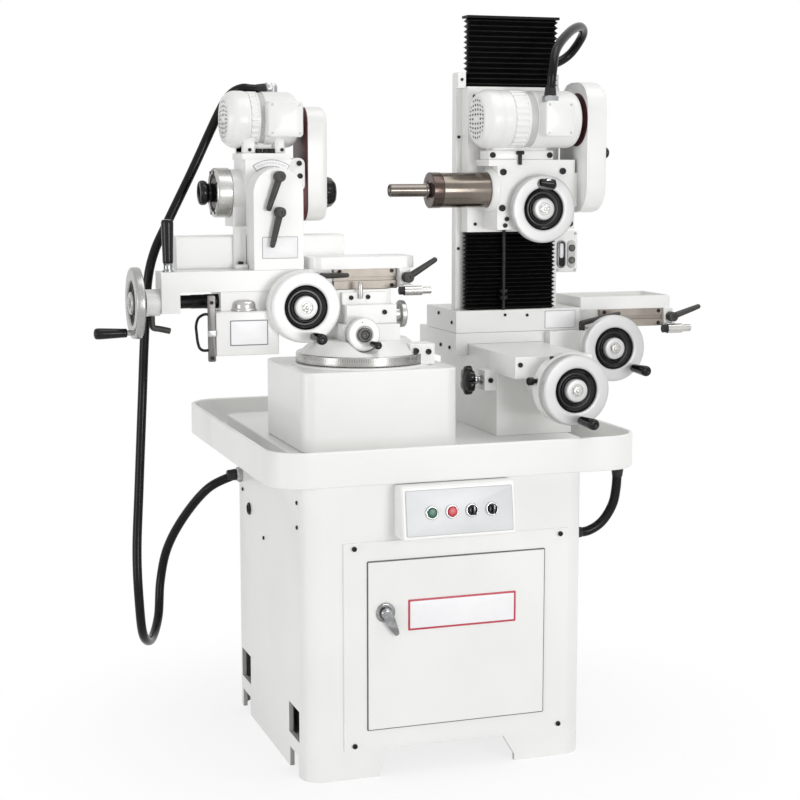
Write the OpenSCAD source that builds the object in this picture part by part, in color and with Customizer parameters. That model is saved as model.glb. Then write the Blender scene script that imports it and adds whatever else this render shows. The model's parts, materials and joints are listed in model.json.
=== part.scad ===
// Tool and cutter grinder on a cabinet base. A workhead on a swivelling compound table stands at the left.
// A grinding head on a column with folded way covers stands at the right. Both stand in a chip tray.
// Millimetres. +X is the operator's right, +Y is the back, +Z is up.
// The origin is on the floor under the middle of the cabinet.

/* [Cabinet] */
// width of the cabinet
cab_w = 655; // [620:5:700]
// depth of the cabinet
cab_d = 628; // [590:2:660]
// height of the cabinet
cab_h = 652; // [640:2:700]
// corner radius of the cabinet
cab_r = 45; // [30:1:55]
// wall of the cabinet casting
cab_wall = 10; // [8:1:14]
// width of the arch between the front feet
arch_w = 264; // [220:2:300]
// height of the arch between the front feet
arch_h = 60; // [40:1:75]
// width of the levelling windows
window_w = 86; // [70:1:95]
// height of the levelling windows
window_h = 70; // [56:1:100]
// distance of the levelling windows from the middle
window_y = 222; // [205:1:228]
// thread radius of the levelling screws
level_r = 8; // [6:0.5:10]

/* [Door] */
// width of the door frame
frame_w = 524; // [500:2:536]
// height of the frame's lower edge over the floor
frame_z = 67; // [60:1:72]
// thickness of the door frame
frame_t = 6; // [4:1:9]
// width of the frame beside the door
frame_side = 57; // [48:1:66]
// width of the frame over and under the door
frame_end = 44; // [38:1:56]
// how far the door stands proud of its frame
door_proud = 4; // [2:1:8]

/* [Control box] */
// width of the control box
ctrl_w = 262; // [240:2:300]
// height of the control box
ctrl_h = 115; // [100:1:120]
// depth of the control box at its top
ctrl_top_d = 46; // [40:1:52]
// depth of the control box at its foot
ctrl_foot_d = 62; // [56:1:75]
// spacing of the buttons
button_pitch = 46; // [40:1:54]
// radius of the button heads
button_r = 11; // [9:0.5:13]

/* [Chip tray] */
// width of the chip tray
tray_w = 863; // [840:2:900]
// depth of the chip tray
tray_d = 896; // [870:2:930]
// height of the tray wall
tray_h = 78; // [66:1:95]
// corner radius of the tray
tray_r = 85; // [60:1:100]
// wall of the tray
tray_wall = 9; // [6:1:12]
// height of the raised deck over the tray's underside
deck_h = 51; // [40:1:60]

/* [Left pedestal and turntable] */
// width of the left pedestal
lped_w = 363; // [350:1:380]
// depth of the left pedestal
lped_d = 338; // [325:1:350]
// height of the left pedestal
lped_h = 177; // [160:1:195]
// radius of the graduated ring
turn_r = 150; // [142:1:152]
// height of the graduated ring
ring_h = 22; // [16:1:28]
// height of the swivel base over the ring
swivel_h = 30; // [22:1:40]
// height of the cross slide base
cross_h = 36; // [32:1:46]
// radius of the cross feed dial
dial_r = 38; // [32:1:42]

/* [Left slides] */
// height of the left saddle
lsad_h = 74; // [68:1:80]
// height of the left table beam
beam_h = 46; // [42:1:54]
// depth of the left table beam
beam_d = 100; // [90:1:104]
// thickness of the left table top
top_h = 27; // [20:1:34]
// height of the rear table rail over the beam
rear_h = 75; // [60:1:80]
// height of the index box
index_h = 98; // [80:1:100]

/* [Handwheels and levers] */
// radius of the handwheels
wheel_r = 80; // [76:1:82]
// width of the handwheel rims
rim_w = 30; // [26:1:34]
// radius of the handwheel shafts
wheel_shaft_r = 9; // [7:0.5:11]
// length of the crank grips
grip_l = 78; // [60:1:84]
// radius of the crank grips
grip_r = 11; // [9:0.5:12.5]
// length of the clamp levers
lever_l = 82; // [66:1:88]

/* [Workhead] */
// width of the workhead bracket
bracket_w = 116; // [106:1:122]
// depth of the workhead bracket
bracket_d = 72; // [66:1:76]
// height of the spindle over the table beam
spindle_h = 172; // [168:1:180]
// radius of the workhead barrel
barrel_r = 54; // [48:1:56]
// radius of the work spindle
work_r = 20; // [16:1:26]
// radius of the workhead motor
wmotor_r = 64; // [58:1:66]
// length of the workhead motor
wmotor_l = 168; // [156:1:172]
// distance of the motor over the spindle
wmotor_h = 167; // [162:1:172]

/* [Right pedestal and slides] */
// width of the right pedestal
rped_w = 190; // [176:1:200]
// height of the right pedestal
rped_h = 147; // [135:1:150]
// height of the cross slide base
rcross_h = 50; // [44:1:56]
// radius of the cross feed drum
drum_r = 82; // [74:1:86]
// height of the right saddle
rsad_h = 26; // [22:1:34]
// height of the right table slab
slab_h = 54; // [46:1:60]
// depth of the right table slab
slab_d = 210; // [200:1:225]
// height of the chip guard tray
guard_tray_h = 32; // [24:1:40]

/* [Column and grinding head] */
// width of the column
col_w = 266; // [258:1:278]
// depth of the column
col_d = 158; // [140:1:160]
// thickness of the column's front plate
col_t = 26; // [20:1:34]
// height of the column over the table slab
col_h = 565; // [555:1:580]
// height of the covered post over the column
post_h = 127; // [120:1:140]
// height of the grinding head slide
slide_h = 344; // [330:1:350]
// folds in each way cover
fold_n = 20; // [14:1:26]
// radius of the grinding spindle barrel
quill_r = 41; // [36:1:44]
// radius of the grinding spindle nose
nose_r = 15; // [12:0.5:18]
// radius of the grinding motor
gmotor_r = 67; // [60:1:70]
// length of the grinding motor
gmotor_l = 246; // [232:1:250]
// distance of the grinding motor over its spindle
gmotor_h = 165; // [160:1:171]
// radius of the cables
cable_r = 11; // [8:0.5:13]

/* [Hidden] */
$fn = 64;
hose_sides = 10;
// running clearance of shafts and slides
fit = 0.05;
gap = 0.4;
cut = 1;
thin = 3;

// cabinet
cab_x = [-cab_w / 2, cab_w / 2];
cab_y = [-cab_d / 2, cab_d / 2];
front_y = cab_y[0];
inner_r = cab_r - cab_wall;
arch_run = 27;
notch_w = 72;
notch_h = 45;
window_z = 78;
pad_w = 60;
pad_x = cab_w / 2 - cab_wall - pad_w / 2;
pad_z = [notch_h + 3, window_z - 2];
foot_r = 18;
foot_h = 12;
nut_r = 14;
nut_h = 12;

// door
ctrl_drop = 1;
frame_x = 21;
frame_gap = 9;
frame_h = cab_h - ctrl_drop - ctrl_h - frame_gap - frame_z;
door_w = frame_w - 2 * frame_side;
door_h = frame_h - 2 * frame_end;
door_x = [frame_x - 3 - door_w / 2, frame_x - 3 + door_w / 2];
door_z = [frame_z + frame_end, frame_z + frame_end + door_h];
door_y = [front_y - frame_t - door_proud, front_y - gap];
door_gap = 1.5;
door_lip = 12;
screw_r = 7;
screw_h = 4;
screw_inset = 22;
handle_x = door_x[0] + 38;
handle_z = door_z[1] - 112;
handle_r = 13;
handle_h = 16;
handle_l = 56;
handle_w = 11;
handle_pin_r = 5;
handle_deg = 26;

// control box
ctrl_x = 5;
ctrl_z = [cab_h - ctrl_drop - ctrl_h, cab_h - ctrl_drop];
face_tilt = atan((ctrl_foot_d - ctrl_top_d) / ctrl_h);
face_l = ctrl_h / cos(face_tilt);
face_at = [ctrl_x, front_y - (ctrl_foot_d + ctrl_top_d) / 2, (ctrl_z[0] + ctrl_z[1]) / 2];
fascia_t = 2;
fascia_edge = 9;
bezel_w = 4;
bezel_h = 5;
button_z = fascia_t + 2.6;
button_h = 7;
button_at = [for (i = [0:3]) (i - 1.5) * button_pitch + 4];
knob_l = 20;
knob_w = 7;
knob_h = 9;

// chip tray
tray_x = [33 - tray_w / 2, 33 + tray_w / 2];
tray_y = [119 - tray_d / 2, 119 + tray_d / 2];
tray_z = [cab_h, cab_h + tray_h];
tray_floor = 12;
deck_x = [tray_x[0] + 82, tray_x[1] - 82];
deck_y = [tray_y[0] + 66, tray_y[1] - 96];
deck_z = cab_h + deck_h;
deck_r = 30;

// left pedestal
turn_x = -105;
turn_y = -14;
lped_x = [turn_x - 5 - lped_w / 2, turn_x - 5 + lped_w / 2];
lped_y = [turn_y - 5 - lped_d / 2, turn_y - 5 + lped_d / 2];
lped_z = [deck_z, deck_z + lped_h];
lped_r = 30;
lug_screw_r = 5;
pivot_r = 30;
pivot_h = 36;

// turntable
turn_z = lped_z[1] + gap;
ring_z = [turn_z + 4, turn_z + 4 + ring_h];
disc_r = turn_r - 18;
swivel_z = [ring_z[1], ring_z[1] + swivel_h];
swivel_r = [turn_r - 8, turn_r - 44];
cross_x = [turn_x - 64, turn_x + 70];
cross_y = [turn_y - 72, turn_y + 118];
cross_z = [swivel_z[1], swivel_z[1] + cross_h];
index_lug_x = [turn_x + 84, turn_x + 142];
index_lug_y = [turn_y - 104, turn_y - 52];
index_lug_z = [turn_z + 2, swivel_z[0] + 22];
dial_at = [turn_x - 22, cross_y[0] - gap, (cross_z[0] + cross_z[1]) / 2 - 2];
dial_h = 24;
scallop = 2;
dial_hub_r = 17;
dial_shaft_r = 6;
dial_grip_r = 8.5;
dial_grip_l = 50;
dial_crank = dial_r - 12;

// left saddle, which moves along Y
lsad_x = [turn_x - 195, turn_x + 70];
lsad_y = [turn_y - 6, turn_y + 124];
lsad_z = [cross_z[1] + gap, cross_z[1] + gap + lsad_h];
block_x = [turn_x - 48, lsad_x[1]];
block_y = lsad_y[0] - 42;
block_h = 42;
arm_x = lsad_x[0] - 126;
arm_z = lsad_z[0] + 31;
dog_plate_x = [turn_x - 50, turn_x + 56];
dog_plate_t = 12;
dog_pin_r = 5;
lwheel_at = [turn_x - 139, lsad_y[0] - gap, lsad_z[1] - 35];
side_at = [lsad_x[1] + gap, turn_y - 20, lsad_z[0] + 18];
side_r = 31;
side_h = 12;
side_l = 26;
index_x = [lsad_x[0] - 145, lsad_x[0]];
index_y = [lsad_y[0], lsad_y[0] + 80];
index_z = [arm_z - index_h, arm_z];
strip_w = 18;
strip_t = 5;
strip_h = [12, 38];
cap_r = 15;
cap_h = 24;
cap_x = 72;

// left table, which moves along X
beam_x = [turn_x - 413, turn_x + 92];
beam_y = [turn_y + 24, turn_y + 24 + beam_d];
beam_z = [lsad_z[1] + gap, lsad_z[1] + gap + beam_h];
rail_x = [turn_x - 60, turn_x + 92];
rail_t = 10;
rail_slot = 9;
rail_head = 16;
top_x = [turn_x - 112, turn_x + 138];
top_y = [beam_y[0] - 12, beam_y[1]];
top_r = 24;
rear_x = [turn_x - 402, turn_x - 6];
rear_y = [beam_y[1] - 12, beam_y[1] + 60];
end_w = 26;
stop_y = turn_y - 34;
end_y = [turn_y - 4, beam_y[1]];
end_foot_h = 8;
stop_z = beam_z[0] - 3;
stop_r = 11;
stop_l = 76;
end_foot_z = [stop_z + stop_r / 2, stop_z + stop_r / 2 + end_foot_h];
lock_at = [rail_x[1] + 16, end_y[0] - gap, beam_z[1] - 20];
lock_lean = [31, 18];

// fine feed at the left end of the table
feed_w = 42;
feed_x = [beam_x[0] - feed_w, beam_x[0]];
feed_y = [beam_y[0], beam_y[0] + 70];
feed_at = [beam_y[0] + 35, beam_z[0] - 23];
feed_drop = 46;
feed_boss_r = 30;
feed_boss_l = 32;
screw_shaft_r = 13;
screw_end = arm_x + 52;
bore_end = arm_x + 110;
push_r = 14;
push_l = 98;
ferrule_r = 10;
ferrule_h = 18;
trip_at = [feed_x[0] - 16, feed_at[0]];
trip_z = [feed_at[1] - feed_boss_r - 34, feed_at[1] - feed_boss_r - gap];
trip_r = 7;
trip_l = 42;

// handwheel section, from the back of the hub to the front
hub_r = 26;
hub_back_r = 20;
web_z = [12, 18];
rim_z = [10, 30];
hub_h = 34;
stub_l = 12;
crank_r = wheel_r - rim_w / 2 + 1;
neck_r = 6;
neck_l = 10;

// workhead
tilt_x = turn_x - 183;
spindle_z = beam_z[1] + spindle_h;
bracket_y = [beam_y[0] + 10, beam_y[0] + 10 + bracket_d];
spindle_y = bracket_y[1] + 62;
barrel_x = [tilt_x - 84, tilt_x + 76];
house_x = [tilt_x - 58, tilt_x + 56];
house_y = bracket_y[1] + gap;
house_top = spindle_z + 76;
trunnion_r = 24;
trunnion_l = 30;
wmotor_z = spindle_z + wmotor_h;
plate_t = 14;
plate_x = [tilt_x - 62, tilt_x + 52];
plate_y = [spindle_y - 50, spindle_y + 50];
plate_z = [house_top, house_top + plate_t];
wmotor_x = [tilt_x - 95, tilt_x - 95 + wmotor_l];
cowl_l = 45;
cowl_taper = 18;
cowl_grow = 1.5;
motor_foot_x = [tilt_x - 58, tilt_x + 40];
leg_x = [barrel_x[0], barrel_x[0] + 44];
leg_y = [spindle_y - 44, spindle_y + 40];
leg_z = spindle_z - 77;
motor_foot_y = [spindle_y - 46, spindle_y + 46];
box_x = [tilt_x - 10, tilt_x + 70];
box_half = 40;
box_d = 30;
gland_r = 14;
gland_h = 14;
wgland_at = [tilt_x + 28, spindle_y + 30];
wgland_z = wmotor_z + wmotor_r + 6;
wgland_x = wgland_at[0] - gland_r - gland_h;
wguard_x = [tilt_x + 90, tilt_x + 138];
wguard_half = 61;
wguard_z = [spindle_z - 66, wmotor_z + 30];
guard_r = 38;
nose_ring_r = 57;
nose_ring_w = 38;
draw_r = 28;
draw_l = 32;
rear_knob_r = 36;
rear_knob_l = 35;
pulley_w = 28;
work_pulley_r = 34;
motor_shaft_r = 8;
motor_pulley_r = 22;
lever_hub_r = 12;
lever_hub_h = 24;
lever_end_r = 6;
tilt_lever_z = [spindle_z + 38, spindle_z - 42];
tilt_lever_lean = [20, 14];
tilt_stud_r = 5;
tilt_stud_l = 14;

// right pedestal
rx = 295;
rped_x = [rx - rped_w / 2, rx + rped_w / 2];
rped_y = [-91, 290];
rped_z = [deck_z, deck_z + rped_h];
rcross_y = [-202, 335];
rcross_z = [rped_z[1], rped_z[1] + rcross_h];
drum_y = rcross_y[0] - 56;
drum_t = 30;
drum_neck_r = 40;
lock_block_w = 28;
lock_block_y = [rped_y[0] + 6, rped_y[0] + 46];
lock_block_z = [rped_z[1] - 40, rped_z[1] + 8];
clock_x = rped_x[0] - lock_block_w;
clock_at = [rped_y[0] + 26, rped_z[1] - 16];
clock_l = 24;
clock_r = 34;
clock_h = 20;
clock_lobes = 6;
cwheel_at = [rx + 18, drum_y - gap, rcross_z[0] - 20];

// right saddle, which moves along Y
rsad_x = [rx - 127, rx + 107];
rsad_y = [94, 355];
rsad_z = [rcross_z[1] + gap, rcross_z[1] + gap + rsad_h];
lip_h = 28;
lip_gap = 0.6;
apron_x = [rsad_x[1], rx + 285];
apron_y = [rsad_y[0] - 30, rsad_y[0] + 60];
apron_r = 45;
twheel_at = [rx + 229, -12, rcross_z[1] - 8];

// right table, which moves along X
slab_x = [rx - 127, rx + 199];
slab_y = [rsad_y[0], rsad_y[0] + slab_d];
slab_z = [rsad_z[1] + gap, rsad_z[1] + gap + slab_h];
wing_x = [slab_x[1], rx + 427];
wing_y = [slab_y[0] + rail_t, slab_y[0] + 150];
wing_z = [slab_z[0] + 3, slab_z[1] - 7];
rrail_x = [slab_x[1] + 54, wing_x[1]];
rend_w = 24;
rstop_at = [slab_y[0] - 22, wing_z[0] - 6];
rstop_r = 12;
rend_y = [slab_y[0] - 6, wing_y[1]];
rend_foot_z = [rstop_at[1] + rstop_r / 2, rstop_at[1] + rstop_r / 2 + end_foot_h];
rlock_at = [wing_x[1] + 16, rend_y[0] - gap, slab_z[0] + 26];
gtray_x = [slab_x[1] + 1, rx + 445];
gtray_y = [slab_y[0], slab_y[0] + 150];
gtray_z = [wing_z[1], wing_z[1] + guard_tray_h];

// column
col_x = [rx - 111, rx - 111 + col_w];
col_y = [slab_y[1] - 4 - col_d, slab_y[1] - 4];
col_z = [slab_z[1], slab_z[1] + col_h];
back_x = [rx - 52, rx + 120];
post_x = [rx - 40, rx + 115];
post_y = [col_y[0], col_y[0] + 90];
post_z = [col_z[1], col_z[1] + post_h];
cover_x = [rx - 97, rx + 139];
cover_y = [col_y[0] - 38, col_y[0] - gap];
cap_t = 6;
flare_r = 4;
flare_y = [col_y[0], col_y[0] + col_t];
lug_x = [col_x[0] - 6, cover_x[0] - 2 * gap];
lug_h = 36;
lug_d = 30;
socket_z = [slab_z[1] + 84, slab_z[1] + 186];
socket_w = 60;
socket_y = [col_y[0] + 6, col_y[0] + 50];
rod_r = 4;
rod_at = [rx - 5, cover_y[0] - 11];
rod_top = slab_z[1] + 310;
collar_r = 10;
collar_z = [slab_z[1] + 26, slab_z[1] + 42];
collar_h = 8;

// grinding head, which moves along Z
slide_z = [slab_z[1] + 188, slab_z[1] + 188 + slide_h];
slide_y = [cover_y[0] - 4, col_y[0] - gap];
low_z = [slab_z[1], slide_z[0]];
high_z = [slide_z[1], post_z[1]];
fold_in = 7;
fold_t = 0.45;
head_x = [rx - 53, rx + 145];
head_y = [cover_y[0] - 86, slide_y[0]];
head_z = [slide_z[0] + 8, slide_z[0] + 158];
quill_y = slide_y[0] - 1 - quill_r;
quill_z = slide_z[0] + 101;
quill_x = head_x[0] - 157;
quill_cap_l = 26;
quill_cap_r = quill_r + 1;
shank_r = quill_r - 15;
nose_x = quill_x - 98;
step_r = 22;
step_l = 12;
gmotor_z = quill_z + gmotor_h;
gmotor_y = slide_y[0] - 4 - gmotor_r;
gmotor_x = [rx - 103, rx - 103 + gmotor_l];
gfoot_x = [rx - 75, rx + 90];
gfoot_y = [head_y[0], head_y[0] + 60];
gbox_x = [rx + 33, rx + 103];
ggland_at = [rx + 52, gmotor_y - gmotor_r - 6];
ggland_z = [gmotor_z + box_half, gmotor_z + box_half + 24];
gguard_x = [rx + 158, rx + 206];
gguard_y = [quill_y - 92, quill_y + 68];
gguard_z = [quill_z - 54, gmotor_z + 88];
gguard_r = 60;
gplate_t = 5;
gpulley_r = 30;
gmotor_pulley_r = 38;
hwheel_at = [rx + 54, head_y[0] - gap, quill_z - 44];

// cables and the drain hose
lgland_at = [cab_x[0], 250, tray_z[0] - 67];
left_route = [
    [wgland_x, wgland_at[1], wgland_z], [-308, 185, 1503], [-330, 190, 1504], [-352, 209, 1490],
    [-374, 238, 1448], [-440, 240, 1312], [-498, 242, 1197], [-532, 242, 1125], [-550, 238, 1050],
    [-560, 236, 920], [-568, 236, 780], [-587, 195, 580], [-602, 156, 430], [-601, 143, 309],
    [-588, 174, 227], [-556, 250, 193], [-524, 326, 227], [-511, 357, 309], [-494, 346, 394],
    [-456, 314, 478], [-404, 272, 552],
    [lgland_at[0] - gland_h, lgland_at[1], lgland_at[2]]
];
cgland_at = [post_x[1], post_y[0] + 60, post_z[0] + 28];
head_route = [
    [ggland_at[0], ggland_at[1], ggland_z[1]], [350, -48, 1545], [372, -18, 1595], [440, 58, 1642],
    [498, 125, 1660], [526, 172, 1644], [508, 206, 1600], [464, 206, 1575],
    [cgland_at[0] + gland_h, cgland_at[1], cgland_at[2]]
];
drain_at = [tray_x[1] - 16, cab_y[0] + 92];
rgland_at = [cab_x[1], drain_at[1] + 7, tray_z[0] - 162];
drain_route = [
    [drain_at[0], drain_at[1], tray_z[0] - gland_h], [446, -222, 590], [438, -220, 550], [414, -217, 512],
    [380, -215, 492], [rgland_at[0] + gland_h, rgland_at[1], rgland_at[2]]
];

// block between three pairs of limits
module span(x, y, z) {
    translate([x[0], y[0], z[0]])
        cube([x[1] - x[0], y[1] - y[0], z[1] - z[0]]);
}

// block with rounded upright edges
module rounded(x, y, z, r) {
    translate([0, 0, z[0]])
        linear_extrude(z[1] - z[0])
            rounded_outline(x, y, r);
}

module rounded_outline(x, y, r) {
    translate([x[0] + r, y[0]])
        square([x[1] - x[0] - 2 * r, y[1] - y[0]]);
    translate([x[0], y[0] + r])
        square([x[1] - x[0], y[1] - y[0] - 2 * r]);
    for (px = [x[0] + r, x[1] - r], py = [y[0] + r, y[1] - r])
        translate([px, py])
            circle(r);
}

// block with rounded edges along X
module rounded_x(x, y, z, r) {
    translate([x[0], 0, 0])
        rotate([90, 0, 90])
            linear_extrude(x[1] - x[0])
                rounded_outline(y, z, r);
}

// round bars along each axis
module rod_x(x, at, r) {
    translate([x[0], at[0], at[1]])
        rotate([0, 90, 0])
            cylinder(h = x[1] - x[0], r = r);
}

module rod_y(y, at, r) {
    translate([at[0], y[1], at[1]])
        rotate([90, 0, 0])
            cylinder(h = y[1] - y[0], r = r);
}

module rod_z(z, at, r) {
    translate([at[0], at[1], z[0]])
        cylinder(h = z[1] - z[0], r = r);
}

// points along a smooth curve through the route
function along(p, n) = [
    for (i = [0:len(p) - 2], k = [0:n - 1])
        let (a = p[max(i - 1, 0)], b = p[i], c = p[i + 1], d = p[min(i + 2, len(p) - 1)], t = k / n)
            b + t * ((c - a) + t * ((2 * a - 5 * b + 4 * c - d) + t * (3 * b - a - 3 * c + d))) / 2,
    p[len(p) - 1]
];

function unit(v) = v / norm(v);

function heading(q, i) = unit(q[min(i + 1, len(q) - 1)] - q[max(i - 1, 0)]);

function across(t) = unit(cross(t, [0.31, 0.87, 0.12]));

// flexible cord along a route
module cord(route, r, first, last) {
    q = along(route, 3);
    n = len(q);
    ways = [for (i = [0:n - 1]) i == 0 ? first : i == n - 1 ? last : heading(q, i)];
    rings = [
        for (i = [0:n - 1], k = [0:hose_sides - 1])
            let (u = across(ways[i]), v = cross(ways[i], u), a = 360 * k / hose_sides)
                q[i] + r * (u * cos(a) + v * sin(a))
    ];
    walls = [
        for (i = [0:n - 2], k = [0:hose_sides - 1])
            let (j = (k + 1) % hose_sides, a = i * hose_sides, b = a + hose_sides)
                each [[a + k, b + k, b + j], [a + k, b + j, a + j]]
    ];
    ends = [
        [for (k = [0:hose_sides - 1]) k],
        [for (k = [hose_sides - 1:-1:0]) (n - 1) * hose_sides + k]
    ];
    polyhedron(rings, concat(walls, ends));
}

// dished handwheel with its shaft and its crank grip, standing on its hub
module handwheel(grip_deg, folded) {
    rotate_extrude()
        polygon([
            [0, 0], [hub_back_r, 0], [hub_back_r, web_z[0]], [wheel_r - rim_w, web_z[0]],
            [wheel_r - rim_w, rim_z[0]], [wheel_r, rim_z[0]], [wheel_r, rim_z[1]],
            [wheel_r - rim_w, rim_z[1]], [wheel_r - rim_w - 4, web_z[1]], [hub_r, web_z[1]],
            [hub_r, hub_h], [0, hub_h]
        ]);
    translate([0, 0, -stub_l])
        cylinder(h = stub_l + cut, r = wheel_shaft_r);
    rotate([0, 0, grip_deg])
        translate([crank_r, 0, rim_z[1] - cut])
            if (folded)
                folded_grip();
            else
                crank_grip(grip_r, grip_l);
}

module crank_grip(r, l) {
    cylinder(h = neck_l + 2 * cut, r = neck_r);
    translate([0, 0, neck_l])
        cylinder(h = l - neck_l, r1 = r - 2, r2 = r);
    translate([0, 0, l])
        cylinder(h = r / 2, r1 = r, r2 = r / 2);
}

module folded_grip() {
    cylinder(h = neck_l + 2 * cut, r = neck_r);
    translate([0, 0, neck_l])
        rotate([90, 0, 0])
            cylinder(h = grip_l - neck_l, r = grip_r - 1);
}

// clamp lever with a hub on the local Z axis and an arm along the local Y axis
module clamp_lever(length, rise) {
    cylinder(h = lever_hub_h, r = lever_hub_r);
    translate([0, 0, lever_hub_h / 2])
        rotate([-90 + rise, 0, 0])
            cylinder(h = length, r1 = lever_end_r + 2, r2 = lever_end_r);
}

// sheet guard over a belt, open towards its back plate
module belt_guard(x, y, z, r) {
    difference() {
        rounded_x(x, y, z, r);
        rounded_x(
            [x[0] - cut, x[1] - thin], [y[0] + thin, y[1] - thin],
            [z[0] + thin, z[1] - thin], r - thin
        );
    }
}

// fan cowl of a motor with its end drawn in
module fan_cowl(x, at, r) {
    translate([x, at[0], at[1]])
        rotate([0, 90, 0]) {
            cylinder(h = cowl_taper, r1 = r - cowl_taper, r2 = r);
            translate([0, 0, cowl_taper])
                cylinder(h = cowl_l - cowl_taper, r = r);
        }
}

// steel bar with a T slot along its front
module slotted_rail(x, y, z) {
    mid = (z[0] + z[1]) / 2;
    long = [x[0] - cut, x[1] + cut];
    difference() {
        span(x, y, z);
        span(long, [y[0] - cut, y[1] - rail_t / 3], [mid - rail_slot / 2, mid + rail_slot / 2]);
        span(long, [y[0] + rail_t / 3, y[1] - rail_t / 3], [mid - rail_head / 2, mid + rail_head / 2]);
    }
}

// stop with a dark cap, a body and a bright adjuster
module table_stop(x, at, r) {
    rod_x([x, x + r], at, r - 2);
    rod_x([x + r, x + stop_l - 2 * r], at, r);
    rod_x([x + stop_l - 2 * r, x + stop_l], at, r - 3);
}

// folded way cover
module way_cover(z) {
    pitch = (z[1] - z[0]) / fold_n;
    half = fold_t * pitch / 2;
    span([cover_x[0] + fold_in, cover_x[1] - fold_in], [cover_y[0] + fold_in, cover_y[1]], z);
    for (mid = [z[0] + pitch / 2:pitch:z[1]])
        span(cover_x, cover_y, [mid - half, mid + half]);
}

// places things on the sloping face of the control box
module on_face() {
    translate(face_at)
        rotate([90 - face_tilt, 0, 0])
            children();
}

module cabinet() {
    color("white")
        difference() {
            union() {
                difference() {
                    rounded(cab_x, cab_y, [0, cab_h], cab_r);
                    rounded(
                        [cab_x[0] + cab_wall, cab_x[1] - cab_wall],
                        [cab_y[0] + cab_wall, cab_y[1] - cab_wall],
                        [-cut, cab_h - cab_wall], inner_r
                    );
                }
                for (sx = [-1, 1], sy = [-1, 1])
                    span(
                        [sx * pad_x - pad_w / 2 - cut, sx * pad_x + pad_w / 2 + cut],
                        [sy * window_y - pad_w / 2, sy * window_y + pad_w / 2], pad_z
                    );
            }
            translate([0, front_y + cab_wall + cut, 0])
                rotate([90, 0, 0])
                    linear_extrude(cab_wall + 2 * cut)
                        polygon([
                            [-arch_w / 2 - arch_run, -cut], [arch_w / 2 + arch_run, -cut],
                            [arch_w / 2 + arch_run, arch_h / 4], [arch_w / 2, arch_h],
                            [-arch_w / 2, arch_h], [-arch_w / 2 - arch_run, arch_h / 4]
                        ]);
            for (sx = [-1, 1], sy = [-1, 1])
                levelling_cuts(sx, sy);
            span(
                [door_x[0] + door_lip, door_x[1] - door_lip], [front_y - cut, front_y + cab_wall + cut],
                [door_z[0] + door_lip, door_z[1] - door_lip]
            );
        }
}

module levelling_cuts(sx, sy) {
    side = sx * (cab_w / 2 - cab_wall / 2);
    wide = [side - cab_wall / 2 - cut, side + cab_wall / 2 + cut];
    span(wide, [sy * window_y - window_w / 2, sy * window_y + window_w / 2], [window_z, window_z + window_h]);
    span(wide, [sy * window_y - notch_w / 2, sy * window_y + notch_w / 2], [-cut, notch_h]);
    rod_z([0, cab_h / 2], [sx * pad_x, sy * window_y], level_r + fit);
}

module levelling_screws() {
    color("gray")
        for (sx = [-1, 1], sy = [-1, 1])
            translate([sx * pad_x, sy * window_y, 0]) {
                cylinder(h = foot_h, r = foot_r);
                cylinder(h = pad_z[1] + 2 * nut_h, r = level_r);
                translate([0, 0, pad_z[1]])
                    cylinder(h = nut_h, r = nut_r, $fn = 6);
            }
}

module door_frame() {
    color("white")
        difference() {
            span(
                [frame_x - frame_w / 2, frame_x + frame_w / 2], [front_y - frame_t, front_y],
                [frame_z, frame_z + frame_h]
            );
            span(
                [door_x[0] - door_gap, door_x[1] + door_gap], [front_y - frame_t - cut, front_y + cut],
                [door_z[0] - door_gap, door_z[1] + door_gap]
            );
        }
    color("white")
        for (px = [-1, 1], z = [frame_z + screw_inset / 2, frame_z + frame_h - screw_inset / 2])
            rod_y(
                [front_y - frame_t - screw_h, front_y - frame_t + cut],
                [frame_x + px * (frame_w / 2 - screw_inset), z], screw_r
            );
}

module control_box() {
    color("white")
        translate([ctrl_x - ctrl_w / 2, 0, 0])
            rotate([90, 0, 90])
                linear_extrude(ctrl_w)
                    polygon([
                        [front_y, ctrl_z[0]], [front_y - ctrl_foot_d, ctrl_z[0]],
                        [front_y - ctrl_top_d, ctrl_z[1]], [front_y, ctrl_z[1]]
                    ]);
}

module control_fascia() {
    color("gainsboro")
        on_face() {
            translate([-ctrl_w / 2 + fascia_edge, -face_l / 2 + fascia_edge, 0])
                cube([ctrl_w - 2 * fascia_edge, face_l - 2 * fascia_edge, fascia_t]);
            for (x = button_at)
                translate([x, 0, fascia_t])
                    difference() {
                        cylinder(h = bezel_h, r = button_r + bezel_w);
                        cylinder(h = bezel_h + cut, r = button_r + fit);
                    }
        }
}

module push_button(i) {
    on_face()
        translate([button_at[i], 0, button_z])
            cylinder(h = button_h, r = button_r);
}

module selector(i) {
    on_face()
        translate([button_at[i], 0, button_z]) {
            cylinder(h = button_h, r = button_r);
            translate([-knob_w / 2, -knob_l / 2, button_h - cut])
                cube([knob_w, knob_l, knob_h + cut]);
        }
}

module start_button() {
    color("green")
        push_button(0);
}

module stop_button() {
    color("red")
        push_button(1);
}

module work_selector() {
    color("black")
        selector(2);
}

module wheel_selector() {
    color("black")
        selector(3);
}

module door_panel() {
    color("white")
        difference() {
            span(door_x, door_y, door_z);
            rod_y([door_y[0] - cut, door_y[1] + cut], [handle_x, handle_z], handle_pin_r + fit);
        }
}

module door_handle() {
    color("silver") {
        rod_y([door_y[0] - handle_h, door_y[0] - gap], [handle_x, handle_z], handle_r);
        rod_y([door_y[0] - gap - cut, door_y[1] - cut], [handle_x, handle_z], handle_pin_r);
        translate([handle_x, door_y[0] - handle_h, handle_z])
            rotate([0, 180 - handle_deg, 0])
                span([-handle_w / 2, handle_w / 2], [0, handle_w], [0, handle_l]);
    }
}

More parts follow.
